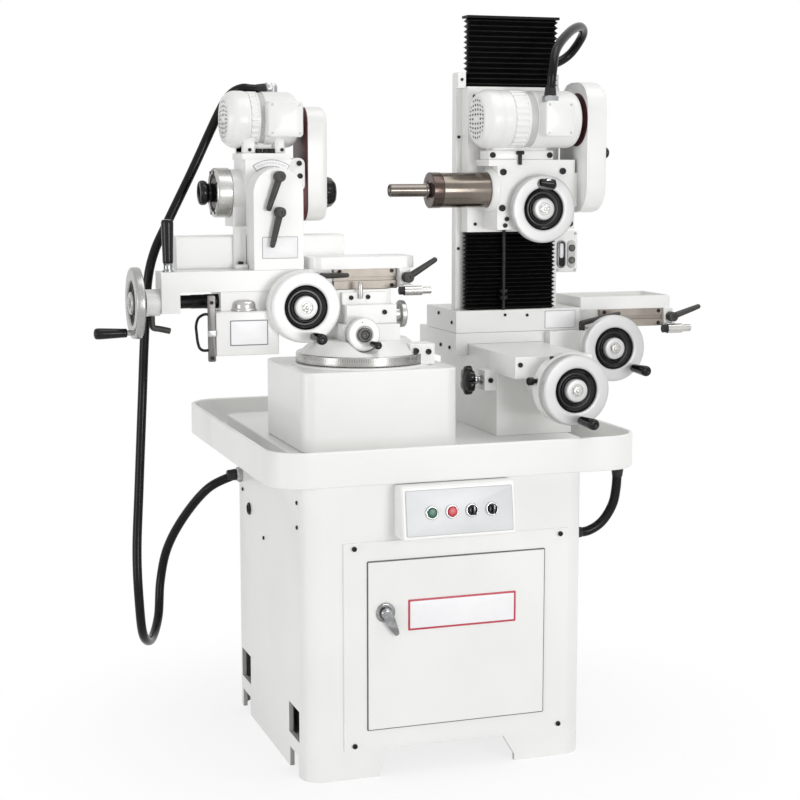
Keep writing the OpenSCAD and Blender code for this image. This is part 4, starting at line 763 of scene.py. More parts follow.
# Work table. An enamelled beam with a top plate and a rear rail, a slotted steel rail with a stop at its
# right end, and the fine feed's bracket at its left end with a black push handle in a chromed ferrule.
rail_steel = finish("rail_steel", ((128, 121, 114), (148, 141, 133)), (0.3, 0.44), 16, 260, 0.06, metal=0.6,
                    stretch=(1, 20, 20))
cast("left_table", enamel, 4)
left_rail = cast("left_rail", rail_steel, 0.8)
paint(left_rail, satin_steel, (-40, -70, 1030), (60, -30, 1060))
paint(left_rail, black_oxide, (-40, -70, 1030), (-12.5, -30, 1060))
screws("rail_screws", "left_table", 4.5, FRONT, -0.3, (-152, 1087.6), (-26, 1087.6), (-26, 1054.5))
cast("feed_bracket", enamel, 5)
PUSH = (-539, 38, 1093.2)
FERRULE = softened([(0, -1), (13, -1), (13, 3), (9.8, 5), (9.8, 15), (10.8, 18.5), (0, 18.5)], 1)
PUSH_GRIP = softened([(0, 18), (10.5, 18), (11.8, 20.5), (12.2, 45), (13.8, 98), (13.9, 110), (12, 115.2),
                      (7, 116), (0, 116)], 3)
build("push_handle_turned", "push_handle", (turned(FERRULE, PUSH, UP, 40), chrome),
      (turned(PUSH_GRIP, PUSH, UP, 40), black_plastic), instead=True)
TRIP_R, TRIP_END_R, TRIP_TAPER = 7, 4.2, 250
trip_route = [(-576, 45, 993.6), (-576, 45, 978), (-573, 45, 968), (-562, 45, 965.5), (-548, 45, 962.5),
              (-534.5, 45, 959)]
trip_line = along(trip_route, 6)
trip_radius = np.minimum(TRIP_R, TRIP_END_R + np.linspace(TRIP_TAPER, 0.0, len(trip_line)))
trip = tube(trip_line, trip_radius, (0, 1, 0), 24)
build("feed_lever_bent", "feed_lever", (trip, lever_iron, "both"), instead=True)
FEED_AXIS = (45, 1024.2)
GAITER_END, GAITER_LENGTH = -426, 92
FOLDS = softened([(16.5, 0), (16.5, 30), (15.8, 30.5), (15.8, 61), (15, 61.5), (15, GAITER_LENGTH)], 0.4)
GAITER = np.vstack([(13.7, 0), FOLDS, (13.7, GAITER_LENGTH)])
gaiter = shell("feed_gaiter", (turned(GAITER, (GAITER_END, *FEED_AXIS), LEFT, 48), rubber))
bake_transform(gaiter)

# Clamp levers. Iron levers with a round hub and a tapered arm, held by a socket screw. Two clamp the
# tables' end stops and two, on zinc-plated studs, the workhead's tilt.
LEVER_HUB = np.array([(0, -0.2, 0), (11.5, 0, 0), (12, 0.6, 0), (12, 22.2, 0), (11.2, 23.6, 0),
                      (9.8, 24, 0), (7.8, 24, 0), (7.4, 22.2, 0), (6.6, 22.2, 0), (6.2, 23.6, 0),
                      (4.2, 23.8, 0), (3.4, 23.4, 1), (3.2, 20, 1), (0, 19.8, 0)])
STUD = [(0, -14), (5, -14), (5, 1), (0, 1)]
ARM_START, ARM_END, ARM_HEIGHT = 4, 82, 12.5
for node, hub, lean in (
    ("left_clamp_lever", (3, -18.4, 1073.2), 31), ("right_clamp_lever", (738, 87.6, 952.8), 18),
    ("upper_tilt_lever", (-288, 19.6, 1303.2), 250), ("lower_tilt_lever", (-288, 19.6, 1223.2), 256),
):
    start, end = (placed(polar(reach, lean, ARM_HEIGHT), hub, FRONT) for reach in (ARM_START, ARM_END))
    skins = [(turned(LEVER_HUB, hub, FRONT, 48, hexagon), lever_iron),
             (lever_arm(start, end, 8.2, 6.2), lever_iron, "both")]
    if "tilt" in node:
        skins.append((turned(STUD, hub, FRONT, 24), zinc))
    build(node + "_turned", node, *skins, instead=True)

# Handwheels. Cast aluminium rims with a dished black web, a raised ring round a bright hub that a nut
# holds, and a turning black crank grip. The lift wheel's grip folds flat into a slot.
rim_bright = finish("rim_bright", ((240, 240, 239), (232, 232, 231)), (0.28, 0.4), 10, 320, 0.04, metal=0.1)
rim_grey = finish("rim_grey", ((199, 199, 199), (211, 211, 211)), (0.28, 0.4), 10, 320, 0.04, metal=0.2)
rim_steel = finish("rim_steel", ((156, 156, 155), (178, 178, 177)), (0.2, 0.32), 10, 320, 0.04, metal=0.7)
web_black = finish("web_black", ((12, 12, 13), (20, 20, 21)), (0.14, 0.24), 30, 420, 0.04, shine=0.35)
RIM = softened([(64, 10), (78.5, 10), (80, 13), (80, 26.5), (77.2, 30), (53, 30), (50.5, 28.5), (50, 25),
                (50, 10), (64, 10)], 3)
WEB = softened([(36, 11.8), (50.5, 11.8), (50.5, 26.2), (47, 21), (40, 17), (34.5, 17), (33.5, 21.5),
                (32, 22.2), (30.5, 21.5), (29.8, 18), (20, 18), (20, 11.8), (36, 11.8)], 1.2)
BOSS = softened([(0, 0), (20, 0), (20, 12), (25.5, 16.5), (25.8, 30), (24, 33), (14, 33.5), (13.2, 31.5),
                 (11.8, 31.5)], 1.4)
NUT = [(12.5, 31.6, 0), (9.8, 31.6, 0), (9.8, 31.8, 1), (9.8, 35, 1), (9, 36, 0), (5, 36, 0),
       (4.7, 37.5, 0), (3, 38.5, 0), (0, 38.6, 0)]
SHAFT = [(0, -WHEEL_SHAFT), (9, -WHEEL_SHAFT), (9, 1), (0, 1)]
GRIP_REACH, GRIP_SEAT = 66, 30
CRANK_SCALE, FOLDED_SCALE = (1.15, 1.0), (0.95, 0.52)


def handwheel(node, hub, facing, grip_turn, rim, folded=False, more=()):
    """A dished handwheel turned from profiles, with a crank grip turned round its own axis at the rim. A
    folded grip lies in a slot along the rim instead."""
    seat = placed(polar(GRIP_REACH, grip_turn, GRIP_SEAT), hub, facing)
    skins = [
        (turned(RIM, hub, facing, 96), rim), (turned(WEB, hub, facing, 96), web_black),
        (turned(BOSS, hub, facing), rim, "last"), (turned(NUT, hub, facing, 48, hexagon), satin_steel),
        (turned(SHAFT, hub, facing, 32), satin_steel), (turned(GRIP_NECK, seat, facing, 24), satin_steel),
    ]
    if folded:
        across = placed(polar(1, grip_turn, 0), ORIGIN, facing)
        lying = placed(polar(1, grip_turn + 90, 0), ORIGIN, facing)
        axis = np.array(facing[2], float)
        slot = slab((-25, -12, -12), (25, 12, 0.6), 11.8, 0.3, seat - 8 * across, (-lying, across, axis))
        pivot = seat - 5 * across + 24 * lying + 3 * axis
        grip = turned(GRIP * FOLDED_SCALE, pivot, (across, axis, -lying), 32)
        skins += [(slot, dark_steel, "both"), (grip, black_plastic)]
    else:
        skins.append((turned(GRIP * CRANK_SCALE, seat, facing, 32), black_plastic))
    return build(node + "_turned", node, *skins, *more, instead=True)


FEED_SCREW = [(0, 0), (13, 0), (13, 216), (11.5, 218), (0, 218)]
feed_screw = turned(FEED_SCREW, (-592, *FEED_AXIS), RIGHT, 40)
handwheel("left_wheel", wheel_hub("left_wheel"), FRONT, -78, rim_bright)
handwheel("feed_wheel", (-592.4, *FEED_AXIS), LEFT, 180, rim_steel, more=[(feed_screw, black_oxide)])
handwheel("cross_wheel", wheel_hub("cross_wheel"), FRONT, -84, rim_grey)
handwheel("table_wheel", wheel_hub("table_wheel"), FRONT, -46, rim_grey)
handwheel("head_wheel", wheel_hub("head_wheel"), FRONT, 84, rim_grey, folded=True)

# Workhead. A bracket with a round top carries the tilting housing and its barrel. Both are enamelled
# castings, with an arc scale over the bracket and bolted ears at the guard's side.
cast("workhead_bracket", enamel, 4)
blank_plate("bracket_plate", "workhead_bracket", (-327, 1119), (-244, 1168), -20, border_grey, 1)
cast("workhead_housing", enamel, 6)
ear = slab((-242, 1268, -121.5), (-205, 1345, -91.5), 15, 4, facing=FRONT)
build("housing_ear", "workhead_housing", (ear, enamel, "both"))
screws("housing_screws", "workhead_housing", 6.2, FRONT, -91.2, (-218, 1303.5), (-220, 1332.5))
upright = slab((-377, 88.5, 1093), (-346.4, 97.7, 1188), 4, 3)
sole = slab((-377, 70, 1093), (-346.4, 97.7, 1104), 6, 3)
build("workhead_foot", "workhead_bracket", (upright, enamel, "both"), (sole, enamel, "both"))
screws("foot_screw", "workhead_bracket", 6.2, UP, 1106, (-363, 79))


def arc_plate(middle, inner, outer, spread, height):
    """A closed plate in the shape of an arc that faces forwards: rings along the arc, each a rectangle from
    the inner to the outer radius and from behind the face to its height."""
    turn = np.linspace(np.pi / 2 - spread, np.pi / 2 + spread, 33)[:, None]
    radius, rise = np.array([inner, outer, outer, inner]), np.array([-1, -1, height, height])
    rise = np.broadcast_to(rise, (len(turn), 4))
    return placed(np.stack([radius * np.cos(turn), radius * np.sin(turn), rise], axis=-1), middle, FRONT)


WORK_AXIS = (154, 1265.2)
ARC_MIDDLE = (-285.5, 92.2, WORK_AXIS[1])
arc_marks = finish("arc_scale", ((247, 247, 248), (242, 242, 243)), (0.3, 0.42), 30, 420, 0.02)
graduated(arc_marks, ARC_MIDDLE, FRONT, 120, 0.16, 1, 10)
build("arc_scale_plate", "workhead_housing",
      (arc_plate(ARC_MIDDLE, 60, 75.5, 0.62, 0.8), border_grey, "both"),
      (arc_plate(ARC_MIDDLE, 61.2, 74.3, 0.60, 1.2), plate_white, "both"),
      (arc_plate(ARC_MIDDLE, 66, 70.5, 0.50, 1.5), arc_marks, "both"))

# Motors. Finned aluminium bodies in enamel with a pressed fan cowl, whose end is pierced by rows of slots,
# a terminal box with a screwed lid, and feet that are bolted down.
fan_and_painted_shade = finish("fan_and_painted_shade", ((58, 58, 59), (72, 72, 73)), (0.5, 0.7), 40, 300, 0.1)
band_grey = finish("band_grey", ((196, 196, 195), (206, 206, 205)), (0.35, 0.5), 20, 400, 0.05)
RIBS = 28
COWL_SHEET = 1.5
LID_LIP, LID_SCREW_INSET = 1, 8


def ribbed(turn):
    """Ribs all round: a square wave with soft flanks, from a rounded cosine of the angle."""
    return 0.985 + 0.015 * np.tanh(4.0 * np.cos(RIBS * turn))


def pierced_end(name, slot, middle, radius):
    """The slotted end of a fan cowl, facing left. A square net of bands is bent onto a disc by the
    elliptical map, u times the root of one less half v squared and the other way round. Every other cell is
    left open, apart from those at the middle and past the rim."""
    wide = np.cumsum([0, *[0.06, 0.09] * 6, 0.06])
    tall = np.cumsum([0, *[0.055, 0.045] * 9, 0.055])
    u, v = wide / wide[-1] * 2 - 1, tall / tall[-1] * 2 - 1
    net_u, net_v = np.meshgrid(u, v, indexing="ij")
    y, z = net_u * np.sqrt(1 - net_v ** 2 / 2), net_v * np.sqrt(1 - net_u ** 2 / 2)
    points = placed(np.stack([z * radius, y * radius, np.zeros_like(y)], axis=-1), middle, LEFT)
    index = np.arange(points.shape[0] * points.shape[1]).reshape(points.shape[:2])
    cells = np.stack([index[:-1, :-1], index[:-1, 1:], index[1:, 1:], index[1:, :-1]], axis=-1)
    row, column = np.meshgrid(np.arange(len(u) - 1), np.arange(len(v) - 1), indexing="ij")
    from_middle = np.hypot((u[row] + u[row + 1]) / 2, (v[column] + v[column + 1]) / 2)
    is_open = (row % 2 == 1) & (column % 2 == 1) & (from_middle ** 2 < 1.1) & (from_middle > 0.22)
    mesh = bpy.data.meshes.new(name)
    mesh.from_pydata((points.reshape(-1, 3) * MM).tolist(), [], cells[~is_open].tolist())
    mesh.materials.append(enamel)
    piece = closed(name, mesh)
    thick = piece.modifiers.new("sheet", "SOLIDIFY")
    thick.thickness = COWL_SHEET * MM
    thick.offset = 0.0
    return fit(piece, slot)


def motor(node, middle, body, cowl, length, ribs, band, terminal, feet):
    """A motor turned from profiles that start at its cowl's end: cowl, fan, ribs, plain length, band and
    end cover. The terminal box has a low and a high corner, a front and a back, and a lid with a screw at
    each corner."""
    cover = softened([(cowl - 18.5, 5.5), (cowl - 18.5, 0), (cowl - 13, 0), (cowl, 17.5), (cowl, 44.5),
                      (body, 47.5), (body, ribs[0] - 2), (body - 3, ribs[0])], 9)
    # The fan is a flat dark disc just behind the pierced end: the fan's own colour and painted shade inside
    # the cowl.
    fan = [(0, 5), (cowl - 18, 5), (cowl - 18, 6), (0, 6)]
    fins = [(body - 4, ribs[0], 0), (body, ribs[0], 1), (body, ribs[1], 1), (body - 4, ribs[1], 0)]
    plain = [(body - 4, ribs[1]), (body, ribs[1]), (body, band[0]), (body - 3, band[0])]
    strip = [(body - 3, band[0]), (body - 2.2, band[0]), (body - 2.2, band[1]), (body - 3, band[1])]
    end = softened([(body - 3, band[1]), (body, band[1]), (body, length - 16), (body - 6, length - 3),
                    (body - 14, length), (0, length)], 5)
    low, high, front, back = terminal
    well = slab((*low, -back), (*high, -front - 10), 8, 2, facing=FRONT)
    lid_low, lid_high = np.subtract(low, LID_LIP), np.add(high, LID_LIP)
    lid = slab((*lid_low, -front - 9.5), (*lid_high, -front), 9, 4, facing=FRONT)
    skins = [(turned(cover, middle, RIGHT, 96), enamel), (turned(fan, middle, RIGHT, 48), fan_and_painted_shade),
             (turned(fins, middle, RIGHT, 12 * RIBS, ribbed), enamel),
             (turned(plain, middle, RIGHT, 96), enamel), (turned(strip, middle, RIGHT, 96), band_grey),
             (turned(end, middle, RIGHT, 96), enamel), (well, enamel, "both"), (lid, enamel, "both")]
    skins += [(slab(foot_low, foot_high, 4, 3), enamel, "both") for foot_low, foot_high in feet]
    build(node + "_turned", node, *skins, instead=True)
    inner_low, inner_high = np.add(low, LID_SCREW_INSET), np.subtract(high, LID_SCREW_INSET)
    corners = [(x, z) for x in (inner_low[0], inner_high[0]) for z in (inner_low[1], inner_high[1])]
    screws(node + "_lid_screws", node, 2.6, FRONT, -front - 0.6, *corners, look=zinc)
    pierced_end(node + "_cowl_end", node, np.array(middle) + (0.8, 0, 0), cowl - 16.5)


WORK_MOTOR_AXIS = (154, 1432.2)
motor(
    "work_motor", (-383, *WORK_MOTOR_AXIS), 64, 65.5, 168, (54, 70), (74.5, 88),
    ((-298, 1392.2), (-218, 1472.2), 60, 122),
    [((-346, 108, 1355.2), (-318, 200, 1392)), ((-272, 108, 1355.2), (-248, 200, 1392)),
     ((-346, 125, 1355.2), (-248, 185, 1398))],
)
screws("work_motor_bolts", "work_motor", 7.5, UP, 1360.5, (-309, 114.5), (-291, 114.5), (-279, 114.5))
screws("work_motor_foot_screws", "work_motor", 4, FRONT, -107.6, (-332, 1363), (-256, 1363))
ELBOW = softened([(0, -22), (14, -22), (14, 8), (10.5, 13.8), (0, 14)], 3)
build("gland_elbow", "work_motor", (turned(ELBOW, (-260, 184, 1502.2), UP, 40), zinc))

# Belt guards. Deep pressed covers, enamelled outside and dark red inside, each closed by plates on its
# left. A flat belt runs in each from the motor's pulley to the spindle's.
guard_red = finish("guard_red", ((58, 14, 16), (78, 20, 21)), (0.4, 0.55), 12, 400, 0.05)
belt_rubber = finish("belt_rubber", ((22, 22, 22), (32, 31, 30)), (0.55, 0.7), 60, 800, 0.2)
GUARD_WALL, GUARD_EDGE = 3, 12
BELT_THICK, BELT_STEPS = 4, 24


def guard(node, low, high, corner, left, right, plates):
    """A cover open to the left, with a rounded right edge: its outer skin, its rim and its inner skin a
    wall inside, as rings of one outline. Plates of the same outline or of their own close it."""
    turn = np.linspace(0.0, np.pi / 2, 6)
    drawn_in, drawn_back = 1 - np.cos(turn), 1 - np.sin(turn)
    inner_edge = GUARD_EDGE - GUARD_WALL
    outer_in = np.concatenate([[GUARD_WALL, 0.0], GUARD_EDGE * drawn_in])
    outer_at = np.concatenate([[left, left], right - GUARD_EDGE * drawn_back])
    inner_in = np.concatenate([[GUARD_WALL], GUARD_WALL + inner_edge * drawn_in])
    inner_at = np.concatenate([[left], right - GUARD_WALL - inner_edge * drawn_back])
    skins = [(lofted(low, high, corner, outer_in, outer_at, facing=RIGHT), enamel, "last"),
             (lofted(low, high, corner, inner_in, inner_at, facing=RIGHT), guard_red, "last")]
    for plate_low, plate_high, plate_corner, look in plates:
        skins.append((slab(plate_low, plate_high, plate_corner, 0.8, facing=RIGHT), look, "both"))
    return build(node + "_pressed", node, *skins, instead=True)


def belt(name, slot, one_axis, one_radius, other_axis, other_radius, near, far):
    """A flat belt round two pulleys: an arc on each between the points where the straight runs touch,
    carried out by the thickness and along X from near to far."""
    way = np.subtract(other_axis, one_axis)
    lead_angle = math.atan2(way[1], way[0])
    touch = math.acos((one_radius - other_radius) / math.hypot(*way))
    first = lead_angle + np.linspace(touch, 2 * np.pi - touch, BELT_STEPS)
    second = lead_angle + np.linspace(-touch, touch, BELT_STEPS)
    turn = np.concatenate([first, second, first[:1]])[:, None]
    ends = np.repeat([(*one_axis, one_radius), (*other_axis, other_radius)], BELT_STEPS, axis=0)
    y, z, radius = np.vstack([ends, ends[:1]]).T[..., None]
    radius = radius + np.array([0, BELT_THICK, BELT_THICK, 0])
    x = np.broadcast_to([near, near, far, far], radius.shape)
    loop = np.stack([x, y + radius * np.cos(turn), z + radius * np.sin(turn)], axis=-1)
    return build(name, slot, (loop, belt_rubber))


guard("work_guard", (93, 1199.2), (215, 1462.2), 38, -198, -150, [
    ((93.5, 1199.7, -201), (214.5, 1461.7, -198.2), 37.5, guard_red),
    ((93.5, 1199.7, -212), (214.5, 1319.2, -200.8), 37.5, guard_red),
])
belt("work_belt", "work_guard", WORK_AXIS, 34.2, WORK_MOTOR_AXIS, 22.2, -193, -173)
cast("work_pulley", satin_steel, 1)


# Work spindle. A bright slotted ring nut and a black draw knob at the nose, a belt pulley, and a black
# lobed knob behind the guard, all turned and screwed to one shaft.
def lobed(turn):
    """Eight shallow lobes: the radius falls and rises with the cosine of eight times the angle."""
    return 0.97 + 0.03 * np.cos(8 * turn)


NOSE = (-372.4, *WORK_AXIS)
RING_NUT = softened([(0, 0), (55.5, 0), (57, 2), (57, 33), (54, 37.5), (46, 38), (44, 36)], 2)
NUT_FACE = softened([(44.5, 36.5), (43, 31), (36, 31), (35, 34.5), (27, 34.5), (24, 33)], 1)
DRAW_KNOB = softened([(20, 30), (21.5, 34), (21.5, 51), (27, 53.5), (28.5, 58), (28.5, 65), (25.5, 69.2),
                      (18, 70), (0, 70)], 2.5)
REAR_KNOB = [(0, 0, 0), (30, 0, 0.2), (35.5, 2, 1), (36, 7, 1), (35.8, 15, 1), (33, 24, 0.8),
             (26, 30.5, 0.5), (14, 34, 0.2), (0, 34.8, 0)]
SPINDLE_LENGTH = 222.8
SPINDLE_SHAFT = [(0, 0), (20, 0), (20, SPINDLE_LENGTH), (0, SPINDLE_LENGTH)]
SPINDLE_PULLEY = softened([(0, 176.4), (35, 176.4), (35, 179), (34, 179.5), (34, 199.5), (35, 200),
                           (35, 202.4), (0, 202.4)], 0.6)
rear_end = (NOSE[0] + SPINDLE_LENGTH, *WORK_AXIS)
build(
    "work_spindle_turned", "work_spindle", (turned(RING_NUT, NOSE, LEFT, 96), satin_steel),
    (turned(NUT_FACE, NOSE, LEFT, 96), dark_steel, "last"),
    (turned(DRAW_KNOB, NOSE, LEFT, 64), black_plastic, "first"),
    (turned(SPINDLE_SHAFT, NOSE, RIGHT, 48), satin_steel),
    (turned(SPINDLE_PULLEY, NOSE, RIGHT, 64), satin_steel),
    (turned(REAR_KNOB, rear_end, RIGHT, 96, lobed), black_plastic), instead=True,
)
NUT_HOLES = range(20, 360, 45)
NUT_CIRCLE_R = 50
nut_circle = [placed(polar(NUT_CIRCLE_R, degrees, 0), NOSE, RIGHT) for degrees in NUT_HOLES]
screws("ring_nut_screws", "work_spindle", 4, LEFT, 408.5, *[(z, y) for _, y, z in nut_circle])

# Right station: pedestal, cross base and drum. One enamelled casting. A black knob and a screw sit on the
# drum, and a black star knob on a chromed spindle locks the cross slide.
cast("right_pedestal", enamel, 7)
screws("cross_base_screws", "right_pedestal", 5.6, FRONT, 202.1, (212, 882))
screws("lock_block_screws", "right_pedestal", 6, FRONT, 85.1, (187, 834))
screws("drum_screws", "right_pedestal", 5.2, UP, 900.5, (271, -243))
DRUM_KNOB = softened([(0, 0), (5.5, 0), (5.5, 10), (9, 11.5), (9.5, 22), (7.5, 25.8), (0, 26.5)], 1.2)
build("drum_knob", "right_pedestal", (turned(DRUM_KNOB, (236.5, -246, 850), LEFT, 32), black_plastic))


def star(turn):
    """Six round lobes: the radius rises between the notches with the 0.6th power of the absolute cosine of
    three times the angle."""
    return 0.80 + 0.20 * np.abs(np.cos(3 * turn)) ** 0.6


STAR = [(0, 0, 0), (16, 0, 0), (28, 1, 1), (33.5, 3, 1), (34, 7, 1), (34, 13, 1), (32.5, 17, 1),
        (26, 19.2, 0.7), (14, 20.5, 0.2), (0, 20.6, 0)]
LOCK_SHAFT = softened([(0, -12), (6, -12), (6, 0), (11.5, 0), (11.5, 4), (8, 5.5), (8, 11), (10.5, 12.5),
                       (10.5, 18), (7.5, 19.5), (7.5, 24.5), (0, 24.5)], 0.8)
LOCK_AXIS = (-65, 834)
build("cross_lock_knob", "cross_lock", (turned(STAR, (148, *LOCK_AXIS), LEFT, 96, star), black_plastic),
      (turned(LOCK_SHAFT, (172, *LOCK_AXIS), LEFT, 40), chrome), instead=True)

# Right saddle and wheel table. Enamelled slides, with a slotted steel rail and a stop at the right end, a
# folded chip guard tray, a bordered blank plate and a small lever on the apron.
cast("right_saddle", enamel, 4)
screws("saddle_screws", "right_saddle", 4.5, LEFT, -167.9, (890, 198), (889, 135))
apron_arm = lever_arm((491, 75, 944), (588, 60, 967), 6.6, 5.2)
build("apron_lever", "right_saddle", (turned(POST * (1.0, 0.60), (491, 75, 926.4), UP, 28), lever_iron),
      (apron_arm, lever_iron, "both"))
cast("right_table", enamel, 5)
screws("slab_screws", "right_table", 3.6, FRONT, -93.9, (295, 968), (353, 966))
screws("slab_end_screws", "right_table", 4.2, LEFT, -167.9, (967, 213), (951, 121))
blank_plate("table_plate", "right_table", (400, 932), (481, 975), -94, border_grey, 1)
right_rail = cast("right_rail", rail_steel, 0.8)
paint(right_rail, satin_steel, (690, 40, 900), (800, 90.5, 940))
paint(right_rail, black_oxide, (690, 40, 900), (722.5, 90.5, 940))
screws("wing_screws", "right_table", 4.5, FRONT, -94.3, (560, 967), (709, 967), (709, 937))
cast("guard_tray", enamel, 1)

# Column. An enamelled casting bolted to the wheel table, with a covered post and a dark cap on top, a box
# with two sockets at its side, and a dark steel rod with two collars that stops the head.
bellows_cloth = finish("bellows_cloth", ((8, 8, 9), (13, 13, 14)), (0.4, 0.56), 60, 900, 0.15, shine=0.15)
column = cast("column", enamel, 4)
paint(column, bellows_cloth, (190, 90, 1671.8), (450, 240, 1700))
screws("column_screws", "column", 3.6, FRONT, -141.8, (191, 1128), (191, 1395), (187, 1529, -111.6))
cast("socket_box", enamel, 3)
SOCKETS = (0, 148, 0)
FRAME_INSET = [0, 0, 0.6, 2, 3.4, 4, 4]
FRAME_RISE = [-1, 4, 5.6, 6.2, 5.6, 4, 1]
ROUND_INSET = [0, 0, 0.8, 1.2]
TERMINAL = softened([(8.8, 3), (8.8, 6), (7, 6.8), (6.6, 5), (0, 5)], 0.6)
socket_frame = lofted((453.5, 1075), (477, 1144), 11.7, FRAME_INSET, FRAME_RISE, SOCKETS, FRONT)
socket_floor = lofted((457.5, 1079), (473, 1140), 7.7, [0, 0], [0.5, 1.2], SOCKETS, FRONT)
socket_flap = lofted((460, 1100), (470.5, 1137), 5.2, ROUND_INSET, [1, 3, 3.7, 4], SOCKETS, FRONT)
socket_plate = lofted((482, 1075), (503, 1144), 10.4, ROUND_INSET, [-1, 3, 3.7, 4], SOCKETS, FRONT)
terminals = [turned(TERMINAL, (492.5, SOCKETS[1], z), FRONT, 40) for z in (1094.5, 1124.5)]
build("socket_faces", "socket_box", (socket_frame, chrome), (socket_floor, black_plastic, "both"),
      (socket_flap, plate_white, "both"), (socket_plate, band_grey, "both"),
      *[(terminal, dark_steel, "first") for terminal in terminals])
box_corners = [(x, z) for x in (456.5, 503.5) for z in (1070, 1160)]
screws("socket_screws", "socket_box", 3.4, FRONT, -147.6, *box_corners, look=zinc)
cast("stop_rod", black_oxide, 0.8)

# Bellows. Coated black cloth in stiff pleats over the column's ways, glued to the head's slide and to the
# column's ends.
# Painted highlight: a lighter band along each pleat's fold stands for the light the folds catch.
fold_painted_highlight = finish("fold_painted_highlight", ((48, 47, 47), (64, 63, 62)), (0.3, 0.45), 30, 900, 0.1, shine=0.3)
BELLOWS_AXIS = (316, 120)
PLEAT_DEPTH = 8.5
PLEAT_ROWS = 10
PLEAT_BANDS = ((0, 5, bellows_cloth), (5, 6, fold_painted_highlight), (6, PLEAT_ROWS, bellows_cloth))
for node, pleats, low_z, high_z, start_z, end_z in (
    ("lower_bellows", 19, 980.8, 1168.8, 980.8, 1168.8),
    ("upper_bellows", 13, 1512.8, 1672.8, 1672.8, 1512.8),
):
    step = np.linspace(0.0, pleats, pleats * PLEAT_ROWS + 1)
    inset = PLEAT_DEPTH * np.abs(2 * (step % 1.0) - 1.0) ** 0.8
    rows = lofted((198, 104), (434, 141.6), 10, inset, low_z + (high_z - low_z) * step / pleats)
    skins = [[rows[pleat * PLEAT_ROWS + first:pleat * PLEAT_ROWS + last + 1], look]
             for pleat in range(pleats) for first, last, look in PLEAT_BANDS]
    skins[0].append("first")
    skins[-1].append("last")
    piece = shell(node + "_pleats", *skins, crease=60.0)
    start, end = metres((*BELLOWS_AXIS, start_z)), metres((*BELLOWS_AXIS, end_z))
    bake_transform(piece)
    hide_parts(node)

# Grinding head. An enamelled slide and casting with a round boss that holds the ground steel spindle
# barrel. The spindle's bare nose stands out at its left, and the motor sits on a bolted foot above.
cast("head_casting", enamel, 5)
screws("head_screws", "head_casting", 7.8, FRONT, -17.8, (256, 1312), (408, 1314), (254, 1228), (428, 1190))
screws("head_small_screws", "head_casting", 5.5, FRONT, -17.8, (266, 1202), (262, 1187))
screws("slide_screws", "head_casting", 4, FRONT, -99.8, (218, 1188), (214, 1490))
WHEEL_AXIS = (58, 1269.8)
BARREL_END = (242, *WHEEL_AXIS)
HEAD_BOSS = softened([(41, -4), (53, -4), (53, 4), (48, 12), (41.2, 14), (41, -4)], 3)
build("head_boss", "head_casting", (turned(HEAD_BOSS, BARREL_END, LEFT, 72), enamel))
ground_steel = finish("ground_steel", ((106, 98, 91), (130, 122, 114)), (0.15, 0.24), 9, 200, 0.04,
                      metal=1.0, stretch=(26, 1, 1))
collar_steel = finish("collar_steel", ((78, 67, 63), (94, 83, 78)), (0.16, 0.28), 9, 200, 0.04, metal=1.0)
nose_steel = finish("nose_steel", ((104, 98, 93), (126, 120, 114)), (0.14, 0.24), 9, 200, 0.03, metal=1.0)
BARREL = softened([(30, -0.5), (41, -0.5), (41, 130.5), (40.5, 131.2)], 0.6)
BARREL_CAP = softened([(40.5, 131), (41.8, 131.6), (42, 156), (41.2, 157), (24, 157), (23, 155),
                       (15.2, 155)], 0.6)
build("spindle_barrel_turned", "spindle_barrel",
      (turned(BARREL, BARREL_END, LEFT, 96), ground_steel, "first"),
      (turned(BARREL_CAP, BARREL_END, LEFT, 96), collar_steel, "last"), instead=True)
NOSE_END = (-13, *WHEEL_AXIS)
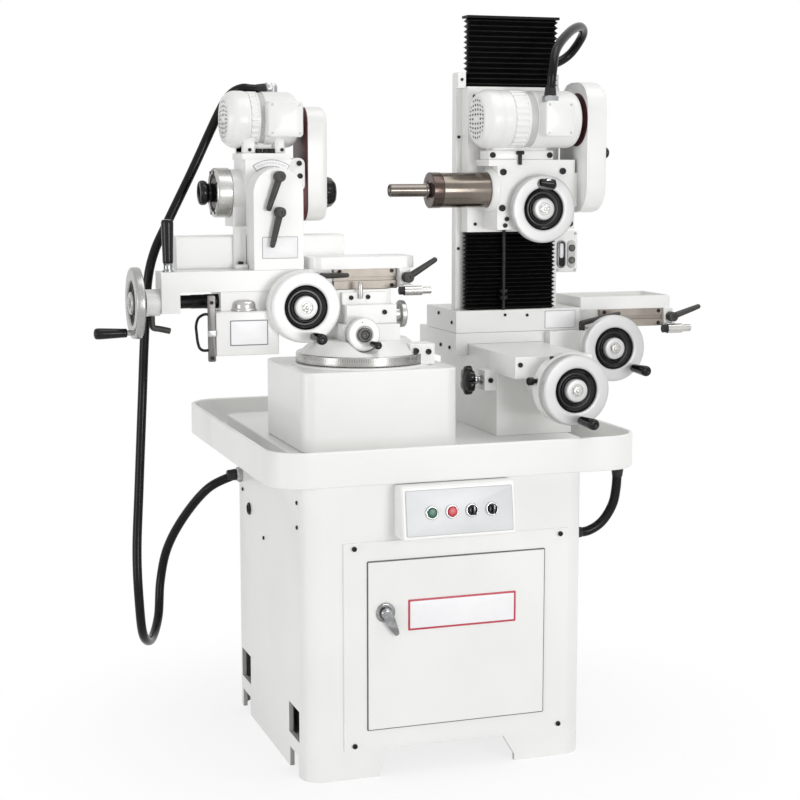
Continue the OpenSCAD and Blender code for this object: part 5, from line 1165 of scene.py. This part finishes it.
SPINDLE = softened([(0, 0), (5, 0), (5.6, 3), (11.8, 3), (12.2, 0), (13.4, 0), (15, 1.8), (15, 88),
                    (18, 88.8), (18.2, 97.5), (15, 97.6), (15, 494), (0, 494)], 0.7)
WHEEL_PULLEY = softened([(0, 467.6), (31, 467.6), (31, 470.2), (30, 470.7), (30, 490.7), (31, 491.2),
                         (31, 494), (0, 494)], 0.6)
build("grinding_spindle_turned", "grinding_spindle", (turned(SPINDLE, NOSE_END, RIGHT, 64), nose_steel),
      (turned(WHEEL_PULLEY, NOSE_END, RIGHT, 64), satin_steel), instead=True)

HEAD_MOTOR_AXIS = (29, 1434.8)
motor(
    "head_motor", (192, *HEAD_MOTOR_AXIS), 67, 68.5, 246, (76, 108), (113, 131),
    ((328, 1394.8), (398, 1474.8), -68, -4.5),
    [((220, 18, 1340.8), (385, 78, 1362.5)), ((232, 26, 1360), (372, 70, 1398))],
)
screws("head_motor_foot_screws", "head_motor", 6.8, FRONT, -17.6, (229, 1351.5), (374, 1351.5))
BOLT = [(0, -12, 0), (4.5, -12, 0), (4.5, 12, 0), (8.5, 12, 1), (8.5, 19, 1), (7.4, 20.5, 1), (0, 20.8, 0)]
tension_bolt = turned(BOLT, (297, 13.5, 1340.8), UP, 24, hexagon)
build("belt_tension_bolt", "head_casting", (tension_bolt, black_oxide))
cast("head_pulley", satin_steel, 1)
guard("head_guard", (-34, 1215.8), (126, 1522.8), 60, 453, 501, [
    ((-34, 1215.8, 448), (126, 1522.8, 453.2), 60, enamel),
    ((18, 1228.8, 440), (100, 1310.8, 448.2), 4, enamel),
])
belt("head_belt", "head_guard", WHEEL_AXIS, 30.2, HEAD_MOTOR_AXIS, 38.2, 458, 478)
OPENING = [(0, -2), (62.5, -2), (62.5, 0.4), (0, 0.4)]
build("guard_motor_opening", "head_guard", (turned(OPENING, (448, *HEAD_MOTOR_AXIS), LEFT, 72), guard_red))
GUARD_KNOB = softened([(0, -1), (6, -1), (6, 4), (12.5, 5.5), (13, 11), (9.5, 15), (0, 15.8)], 1.5)
build("guard_knob", "head_guard", (turned(GUARD_KNOB, (501, -2, 1357), RIGHT, 40), black_plastic))
